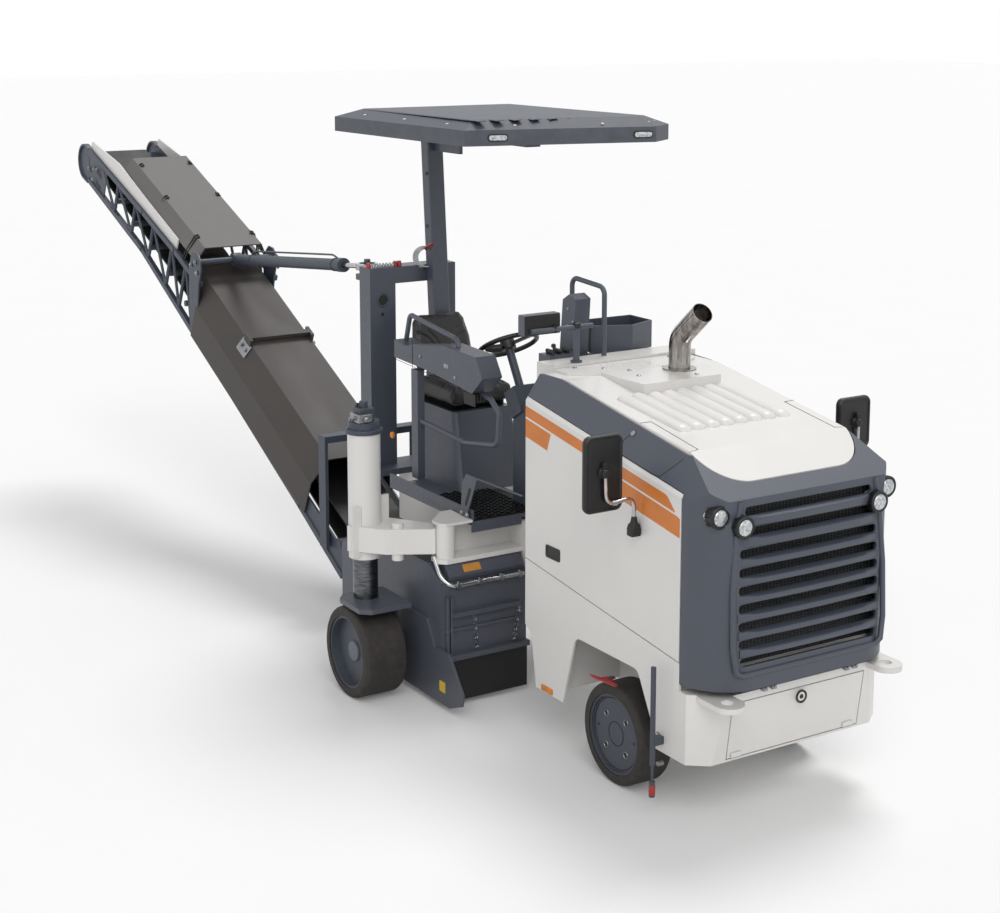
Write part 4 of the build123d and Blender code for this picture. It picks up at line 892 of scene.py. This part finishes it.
mesh = bmesh.new()
rim = ((238, 112, 12, -1), (238, 112, 12, 4), (226, 100, 10, 6))
layered(mesh, at(-887.5, -495, 2377.5), Y, Z, X, rim + ((214, 88, 8, 4),))
layered(mesh, at(-949.5, -495, 2377.5), Y, Z, X * -1, rim)
put("readout_rims", mesh, black_rubber, smooth=40)
fit("readout_glass", screen_glass, (layered, at(-955.6, -495, 2377.5), Y, Z, X * -1, ((206, 84, 6, -1),
    (206, 84, 6, 0.6))))
mesh = bmesh.new()
turned(mesh, at(-875, -270, 2345), Z, ((-6, 24), (2, 26), (22, 24), (26, 18)), 16)
turned(mesh, at(-900, -270, 2345), X, ((-22, 12), (-4, 14), (0, 12)), 12)
turned(mesh, at(-875, -420, 2345), Z, ((-20, 15), (22, 15)), 12)
for i in range(3):
    for k in range(3):
        turned(mesh, at(-1096 + i * 26, -320 + k * 52, 2160), Z, ((-2, 10), (8, 10), (12, 14), (24, 13),
            (28, 9)), 12)
turned(mesh, at(-1020, -330, 2160), Z, ((-2, 9), (20, 7), (46, 6), (50, 14), (64, 14), (70, 8)), 14)
knobs = put("switch_knobs", mesh, black_plastic, smooth=40)
mesh = bmesh.new()
for spot in ((-1140, -151, 2300), (-1140, -151, 2400), (-1090, -151, 2330)):
    turned(mesh, at(*spot), Y * -1, ((-2, 10), (3, 9), (4, 6)), 12)
put("dash_rivets", mesh, zinc_plate, smooth=40)
print("console knob faces", len(knobs.data.polygons))

# %% [markdown]
# ## Lifting columns and the drum's side
# On top of each column sit a cast valve block and its hoses. The sliding leg under the sleeve is
# ground steel. The valve cover under the platform has a rail of chrome tube in clamps, and two
# short chains hang on the gate to pin it.

# %% Ground legs
legs = (("right", -1120), ("left", 502))
for word, y in legs:
    fit(f"leg_tube_{word}", ground_steel, (turned, at(leg_x, y, 612), Z, ((0, 75.8), (4, 76), (690, 76),
        (694, 75.8)), 48), body=f"leg_{word}", smooth=40)
print("legs", len(legs))

# %% Column heads
for word, y in legs:
    fit(f"valve_block_{word}", zinc_plate, (layered, at(-1850, y - 30, 1708), X, Y, Z, ((108, 88, 6, 0),
        (114, 94, 6, 4), (114, 94, 6, 46), (106, 86, 6, 50))), (turned, at(-1793, y - 30, 1732), X,
        ((0, 17), (20, 17), (24, 11), (40, 11)), 12), (turned, at(-1850, y - 77, 1732), Y * -1,
        ((0, 14), (18, 14), (22, 9), (34, 9)), 12), smooth=35)
    mesh = bmesh.new()
    for c, s in circle(6, math.radians(20)):
        screw(mesh, at(leg_x + 98 * c, y + 98 * s, 1660), Z, 15, 9)
    turned(mesh, at(leg_x, y, 1634), Z, ((0, 112), (4, 114), (22, 114), (26, 111), (27, 95), (70, 95),
        (73, 92)), 40)
    layered(mesh, at(leg_x, y, 1706), X, Y, Z, ((100, 100, 8, 0), (100, 100, 8, 76), (92, 92, 8, 80)))
    turned(mesh, at(leg_x, y, 1784), Z, ((0, 26), (36, 26), (42, 20)), 16)
    put(f"column_cap_{word}", mesh, frame_enamel, smooth=30)
    fit(f"column_hoses_{word}", black_rubber, (rod, rounded([at(-1920, y + 40, 1706), at(-1925, y + 46, 1800),
        at(-1880, y - 20, 1812), at(-1872, y - 40, 1756)], 60, 5), 9, 10),
        (rod, rounded([at(-1935, y + 10, 1706), at(-1948, y + 16, 1786), at(-1905, y - 30, 1804),
        at(-1896, y - 40, 1756)], 60, 5), 9, 10), smooth=60)
print("column heads done")

# %% Valve cover rail, labels and chains
mesh = bmesh.new()
rail_path = [at(-1530, -838, 900), at(-1440, -846, 800), at(-1386, -806, 752), at(-1384, -300, 752)]
rod(mesh, rounded(rail_path, 60, 6), 15, 14)
put("cover_rail", mesh, hard_chrome, smooth=60)
mesh = bmesh.new()
for y in (-760, -610, -460, -330):
    turned(mesh, at(-1384, y - 14, 752), Y, ((0, 22), (28, 22)), 14)
    block(mesh, (-1412, -1384), (y - 12, y + 12), (730, 750))
    screw(mesh, at(-1380, y, 772), Z, 14, 8)
put("rail_clamps", mesh, zinc_plate, smooth=40)
mesh = bmesh.new()
slope_up = (at(-1450, 0, 867) - at(-1402, 0, 806)).normalized()
slope_out = slope_up.cross(Y * -1).normalized()
layered(mesh, at(-1426, -640, 836.5) + slope_out * 0.0004, Y, slope_up, slope_out, ((120, 48, 4, 0),
    (120, 48, 4, 0.6)))
put("cover_label", mesh, label_orange)
fit("side_plate_label", label_yellow, (layered, at(-1372, -878.2, 150), X, Z, Y * -1, ((70, 66, 8, 0),
    (70, 66, 8, 0.6))))
mesh = bmesh.new()
links = 8
for y, lean_y in ((-640, 14), (-330, -40)):
    for k in range(links):
        t = k / (links - 1)
        ring(mesh, at(-1386, y + lean_y * t, 520 - 200 * t), X if k % 2 else Y, 11, 2.6, 14, 6)
    screw(mesh, at(-1392, y, 540), X, 16, 12)
for y in (-800, -560, -430):
    screw(mesh, at(-1383, y, 320), X, 14, 6)
put("gate_chains", mesh, zinc_plate, smooth=50)
mesh = bmesh.new()
for z in (470, 300):
    block(mesh, (-1396, -1382), (-850, -285), (z, z + 18))
for y in (-832, -806):
    block(mesh, (-1396, -1374), (y - 8, y + 8), (250, 690))
put("gate_ribs", mesh, slate_enamel, bevel=2)
print("drum side done")

# %% [markdown]
# ## Reflector, pointer and tow-eye hardware
# Little coloured parts draw the eye, so their edges are modelled. The red pointer over the front
# wheel shows the driver the cutting line.

# %% Fender fittings
fit("tail_reflector", amber_plastic, (layered, at(-597, -body_side, 342), X, Z, Y * -1, ((112, 34, 5, 0),
    (112, 34, 5, 5), (104, 26, 4, 7))), slot="red_paint", smooth=30)
mesh = bmesh.new()
pointer = ((-112, -690), (-60, -700), (104, -676), (100, -655), (20, -652), (4, -600), (-24, -610),
    (-40, -668))
plate(mesh, [at(x, y, 596) for x, y in pointer], Z * 0.008)
put("cut_pointer", mesh, red_enamel, bevel=1.5)
fit("pointer_stem", frame_enamel, (rod, [at(0, -612, 606), at(0, -640, 606), at(0, -660, 600)], 7, 8))
mesh = bmesh.new()
for place in (at(470, -652, 430), at(470, -640, 300)):
    turned(mesh, place, Y * -1, ((-6, 13), (26, 13), (30, 9)), 14)
screw(mesh, at(440, -643, 445), Y * -1, 18, 12)
put("rod_clamp", mesh, zinc_plate, smooth=40)
fit("rod_tip", red_enamel, (turned, at(470, -700, 128), Z, ((0, 4), (14, 17), (60, 18), (84, 9), (88, 5)),
    16), smooth=40)
print("cut pointer spans", max(x for x, y in pointer) - min(x for x, y in pointer), "mm")

# %% [markdown]
# ## Gantry, mast and canopy
# Hydraulic couplings with red dust caps stand on the gantry's beam, and a coiled cable with a
# red-handled pin hangs on the mast. The canopy is one thermoformed sheet with pressed ribs and
# a ring of white-capped screws.

# %% Couplings, cable coil and mast fittings
mesh = bmesh.new()
for x, y in ((-2970, -500), (-2970, -300), (-2968, -270)):
    turned(mesh, at(x, y, 2440), Z, ((0, 16), (20, 16), (24, 13), (34, 13)), 12)
put("dust_caps", mesh, red_enamel, smooth=40)
mesh = bmesh.new()
for k in range(7):
    turned(mesh, at(-2972, -460 + k * 24, 2440), Z, ((0, 9), (14, 9), (16, 7), (26, 7)), 10)
for k in range(4):
    ring(mesh, at(-2908 - k * 8, -92 - k * 3, 2490), Vector((0.9, -0.4, 0.2)), 62 + k * 3, 5, 32, 6)
put("couplings", mesh, zinc_plate, smooth=50)
fit("pin_handle", red_enamel, (rod, [at(-2895, -104, 2545), at(-2880, -120, 2560), at(-2800, -104, 2600)], 8,
    8), smooth=50)
mesh = bmesh.new()
ring(mesh, at(-2929, -415, 2225), X, 40, 7, 28, 8)
for y, z in ((-90, 2700), (-90, 3050), (30, 2400), (30, 1900)):
    screw(mesh, at(-2905, y, z), Vector((0.2, -1, 0)), 16, 8)
# black discs in the ring and below it: painted shade for holes through the gantry plate
fit("gantry_hole_shade", black_rubber, (turned, at(-2929, -415, 2225), X, ((-2, 38), (0.8, 38)), 24),
    (turned, at(-2929, -420, 2130), X, ((-2, 12), (1, 12)), 12))
fittings = put("gantry_fittings", mesh, frame_enamel, smooth=40)
fit("side_lamp", amber_plastic, (turned, at(-2630, -512, 1384), Y * -1, ((-2, 22), (10, 22), (16, 16),
    (18, 8)), 16), slot="lamp", smooth=40)
print("gantry fitting faces", len(fittings.data.polygons))

# %% Canopy ribs, screws and work lamps
ribs = bmesh.new()
for y in (-420, -300, -180, -60, 60, 180, 300, 420, 540, 660):
    x0, x1 = -3120, -1700 - max(0, -y) * 0.10 + (90 if y < 600 else 0)
    skin(ribs, [[ribs.verts.new(at(x, y + b, 3478 + lift - (4 if abs(b) > 20 else 0))) for b in (-30, -18, 18,
        30)] for x, lift in ((x0, 0.0), (x0 + 40, 1.5), (x1 - 40, 1.5), (x1, 0.0))])
put("canopy_ribs", ribs, canopy_abs)
mesh = bmesh.new()
edge_path = [(-3270, -580), (-1655, -545), (-1360, 640), (-1500, 840), (-3230, 800)]
for (xa, ya), (xb, yb) in zip(edge_path, edge_path[1:] + edge_path[:1]):
    count = max(2, int(math.hypot(xb - xa, yb - ya) / 420))
    for k in range(count):
        t = (k + 0.5) / count
        x, y = xa + (xb - xa) * t, ya + (yb - ya) * t
        x, y = x + (-2350 - x) * 0.05, y + (120 - y) * 0.09
        turned(mesh, at(x, y, 3441), Z, ((0, 11), (8, 11), (11, 7)), 10)
put("canopy_screws", mesh, white_enamel, smooth=40)
front_run = (at(-1360, 640, 0) - at(-1655, -545, 0)).normalized()
front_out = front_run.cross(Z)
lamp_case, lamp_face = bmesh.new(), bmesh.new()
for share in (0.17, 0.93):
    spot = at(-1655 + 295 * share, -545 + 1185 * share, 3378)
    layered(lamp_case, spot, front_run, Z, front_out, ((128, 44, 20, -2), (128, 44, 20, 4), (120, 36, 17, 5)))
    layered(lamp_face, spot, front_run, Z, front_out, ((112, 30, 14, 3), (112, 30, 14, 7), (98, 20, 9, 9)))
put("work_lamp_cases", lamp_case, black_plastic, smooth=40)
put("work_lamp_lenses", lamp_face, lamp_lens, smooth=40)
print("canopy done")

# %% [markdown]
# ## Conveyor
# The covers are rubber-coated sheet over bowed frames. Rubber latches hold them to the chord,
# a steel strap with two-hole ears crosses the lower one, and the upper cover is a paler, newer
# sheet. The upper cover gets its own skin, because a CAD part carries one finish.

# %% Cover skins and latches
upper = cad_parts["conveyor_cover"]
split_x = on_belt(2670, 0, 500).x
mesh = bmesh.new()
for polygon in upper.data.polygons:
    if polygon.center.x < split_x:
        normal = polygon.normal
        if normal.dot(off_belt) > 0.2 or abs(normal.y) > 0.5:
            lifted = [upper.data.vertices[i].co + normal * 0.0008 for i in polygon.vertices]
            mesh.faces.new([mesh.verts.new(spot) for spot in lifted])
bmesh.ops.remove_doubles(mesh, verts=mesh.verts, dist=0.0002)
upper_skin = put("upper_cover_skin", mesh, upper_sheet, "conveyor")
thick = upper_skin.modifiers.new("thickness", "SOLIDIFY")
thick.thickness = 0.0006
print("upper skin faces", len(upper_skin.data.polygons))
# columns: distance from the cover's middle, height from its ridge
latch = ((322, -215), (308, -130), (272, -46), (250, 6), (225, 12))
mesh = bmesh.new()
for u in (2960, 3650, 4250):
    ridge = 603 - 0.0759 * (u - 2780)
    half = 1 - (u - 2780) / 16000
    for side in (-1, 1):
        up, down = ([on_belt(u + d, belt_y + side * y * half, ridge + w) for y, w in latch] for d in (-16,
            16))
        rod(mesh, up + down[::-1], 6, 8)
put("cover_latches", mesh, black_rubber, "conveyor", smooth=50)
mesh = bmesh.new()
for side in (-1, 1):
    down_slope = (Y * side * 0.447 - off_belt * 0.894)
    off_slope = (Y * side * 0.894 + off_belt * 0.447)
    spot = on_belt(1790, belt_y + side * 272, 348)
    layered(mesh, spot, along_belt, down_slope, off_slope, ((150, 104, 8, 0), (150, 104, 8, 8),
        (146, 100, 7, 9)))
    for d in (-38, 38):
        screw(mesh, spot + along_belt * d * 0.001 + off_slope * 0.010, off_slope, 24, 13)
put("strap_ears", mesh, zinc_plate, "conveyor", smooth=30)

# %% [markdown]
# The side frames are welded truss: square-edged chords, thin posts and diagonals, a folded head
# guard, and cut ears for the hoist. The CAD solid is one cut plate, so a lighter truss of real
# bars replaces it. A bar per member keeps the daylight between them.

# %% Truss, head guards and pulleys
lower_edge = ((-270, -130), (450, -100), (3750, -30), (5070, -140))
chord_edge = ((2600, 410), (3130, 382), (3840, 312), (5150, 160))


def edge_w(u, edge):
    """Height of an edge of the frame above the belt line at u."""
    for (u0, w0), (u1, w1) in zip(edge, edge[1:]):
        if u <= u1:
            return w0 + (w1 - w0) * (u - u0) / (u1 - u0)
    return edge[-1][1]


def flat_bar(mesh, start, end, y, wide, thick):
    """A square-edged bar between two (u, w) points, wide in the frame's plane, thick across it."""
    a, b = on_belt(start[0], y, start[1]), on_belt(end[0], y, end[1])
    square = (b - a).normalized().cross(Y) * wide * 0.0005
    plate(mesh, [a - square, a + square, b + square, b - square], Y * thick * 0.001)


foot = ((-270, -126), (450, -96), (2575, -51), (2575, 60), (-270, 60))
posts = (2620, 2900, 3200, 3610, 4020, 4430, 4830)
ear = ((2440, -50), (2560, -50), (2640, 60), (2730, 250), (2800, 420), (2800, 520), (2770, 585), (2694, 612),
    (2620, 585), (2590, 520), (2585, 400), (2530, 200), (2470, 60))
nose_arc = [(math.cos(a), math.sin(a)) for a in (math.radians(105 - 15 * k) for k in range(14))]
guard = [(4700, edge_w(4700, chord_edge)), (5150, 160)]
guard += [(5206 + 150 * c, -10 + 150 * s) for c, s in nose_arc]
guard += [(5070, -140), (4700, edge_w(4700, lower_edge))]
truss = bmesh.new()
for outer_y in (-670, -36):
    for edge, wide, lift in ((lower_edge, 44, 20), (chord_edge, 40, -20)):
        for (u0, w0), (u1, w1) in zip(edge, edge[1:]):
            flat_bar(truss, (u0 - 8, w0 + lift), (u1 + 8, w1 + lift), outer_y, wide, 36)
    for shape, inset, thick in ((foot, 10, 0.014), (ear, -3, 0.012), (guard, 14, 0.008)):
        plate(truss, [on_belt(u, outer_y + inset, w) for u, w in shape], Y * thick)
    for u0, u1 in zip(posts, posts[1:]):
        rod(truss, [on_belt(u0, outer_y + 18, edge_w(u0, lower_edge) + 20), on_belt(u0, outer_y + 18,
            edge_w(u0, chord_edge) - 20)], 15, 10)
        rod(truss, [on_belt(u0, outer_y + 18, edge_w(u0, lower_edge) + 24), on_belt(u1, outer_y + 18,
            edge_w(u1, chord_edge) - 24)], 12, 10)
    for one, two in zip(guard[1:-1], guard[2:-1]):
        flat_bar(truss, one, two, outer_y - 4, 16, 44)
for u, w, radius in ((2790, 86, 24), (3200, 104, 24), (3610, 93, 24), (4020, 68, 24), (4430, 44, 24),
        (-130, 20, 62), (5180, 0, 62), (2694, 532, 24)):
    turned(truss, on_belt(u, -645, w), Y, ((-14, radius), (634, radius)), 24)
truss_piece = put("truss", truss, frame_enamel, "conveyor", smooth=40)
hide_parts("conveyor_frame")
# thin black patches on the head guards: painted shade for the slots cut through them
recess = bmesh.new()
for outer_y, out in ((-670, -1), (-8, 1)):
    base_y = outer_y + (13.4 if out < 0 else 0.6)
    for u, w, long, tall in ((4900, 60, 170, 46), (5080, -10, 90, 40), (4860, -46, 120, 30)):
        layered(recess, on_belt(u, base_y, w), along_belt, off_belt, Y * out, ((long, tall, 14, -0.5),
            (long, tall, 14, 0.8)))
put("head_slot_shade", recess, black_rubber, "conveyor")
tongue = bmesh.new()
arch = [(-300, 250), (-245, 396), (245, 396), (300, 250), (296, 248), (242, 391), (-242, 391), (-296, 248)]
plate(tongue, [on_belt(2530, belt_y + y, w) for y, w in arch], along_belt * 0.36)
put("cover_tongue", tongue, cover_sheet, "conveyor")
print("truss posts", 2 * (len(posts) - 1))

# %% Hinge screws and the cylinder's guard rod
mesh = bmesh.new()
for y, out in ((10, Y), (-680, -Y)):
    for u, w in ((2694, 532), (2640, 470), (2760, 470)):
        screw(mesh, on_belt(u, y, w), out, 24, 12)
    for u, w in ((4950, -40), (4950, 60), (5060, 10), (4880, 100)):
        screw(mesh, on_belt(u, y, w), out, 20, 10)
put("hinge_screws", mesh, zinc_plate, "conveyor", smooth=30)
mesh = bmesh.new()
hanger = on_belt(2694, belt_y, 532)
eye = at(belt_x, belt_y, 2400)
run = (eye - hanger).normalized()
lift = Z * 0.070
rod(mesh, rounded([hanger + run * 0.30 + Z * 0.04, hanger + run * 0.36 + lift, hanger + run * 1.70 + lift,
    hanger + run * 1.78 + Z * 0.04], 40, 4), 7, 8)
for along in (0.32, 1.72):
    turned(mesh, hanger + run * along, run, ((0, 47), (16, 47)), 24)
put("hose_guard", mesh, frame_enamel, "hoist_barrel", smooth=40)
print("conveyor done")

# %% [markdown]
# ## Studio
# A wide pale floor and a bright, even sky light the object softly, with one broad sun for
# direction and a weak one from the camera's side. The world shows white to the camera and in
# reflections. The floor is pale and keeps the shadow.

# %% Floor, lamps and world
mesh = bmesh.new()
corners = [mesh.verts.new((x, y, 0.0)) for x, y in ((-90, -90), (90, -90), (90, 90), (-90, 90))]
mesh.faces.new(corners)
data = bpy.data.meshes.new("studio_floor")
mesh.to_mesh(data)
mesh.free()
floor = bpy.data.objects.new("studio_floor", data)
bpy.context.scene.collection.objects.link(floor)
tree, shader, place = begin("studio_paper")
speckle = add(tree, "TexNoise", {"Vector": place, "Scale": per_mm(900), "Detail": 2.0})
tone = add(tree, "Mix", {"Factor": speckle, 6: (0.88, 0.88, 0.88, 1.0), 7: (0.90, 0.90, 0.90, 1.0)},
    data_type="RGBA")
seen = add(tree, "LightPath")
glow = add(tree, "Math", {0: seen.outputs["Is Camera Ray"], 1: 0.07}, operation="MULTIPLY")
feed(tree, shader, {"Base Color": tone, "Roughness": 0.9, "Specular IOR Level": 0.1, "Emission Color": (1.0,
    1.0, 1.0, 1.0), "Emission Strength": glow})
data.materials.append(finishes["studio_paper"])

world = bpy.data.worlds.new("studio")
bpy.context.scene.world = world
world.use_nodes = True
tree = world.node_tree
sky = tree.nodes["Background"]
seen = add(tree, "LightPath")
either = add(tree, "Math", {0: seen.outputs["Is Camera Ray"], 1: seen.outputs["Is Glossy Ray"]},
    operation="MAXIMUM")
any_ray = add(tree, "Math", {0: either, 1: seen.outputs["Is Transmission Ray"]}, operation="MAXIMUM")
strength = add(tree, "MapRange", {"Value": any_ray, "To Min": 0.42, "To Max": 1.0})
feed(tree, sky, {"Color": (1.0, 1.0, 1.0, 1.0), "Strength": strength})

# columns: name, strength, apparent size in degrees, direction it comes from
suns = (("key_sun", 1.35, 24, (-0.25, 0.40, 1.0)), ("front_sun", 0.95, 40, (0.8, -0.45, 0.8)),)
for name, power, spread, toward in suns:
    lamp = bpy.data.lights.new(name, "SUN")
    lamp.energy = power
    lamp.angle = math.radians(spread)
    lit = bpy.data.objects.new(name, lamp)
    lit.rotation_mode = "QUATERNION"
    lit.rotation_quaternion = Vector(toward).to_track_quat("Z", "Y")
    bpy.context.scene.collection.objects.link(lit)
bpy.context.scene.view_settings.view_transform = "Standard"
print("studio lit by", len(suns), "suns")
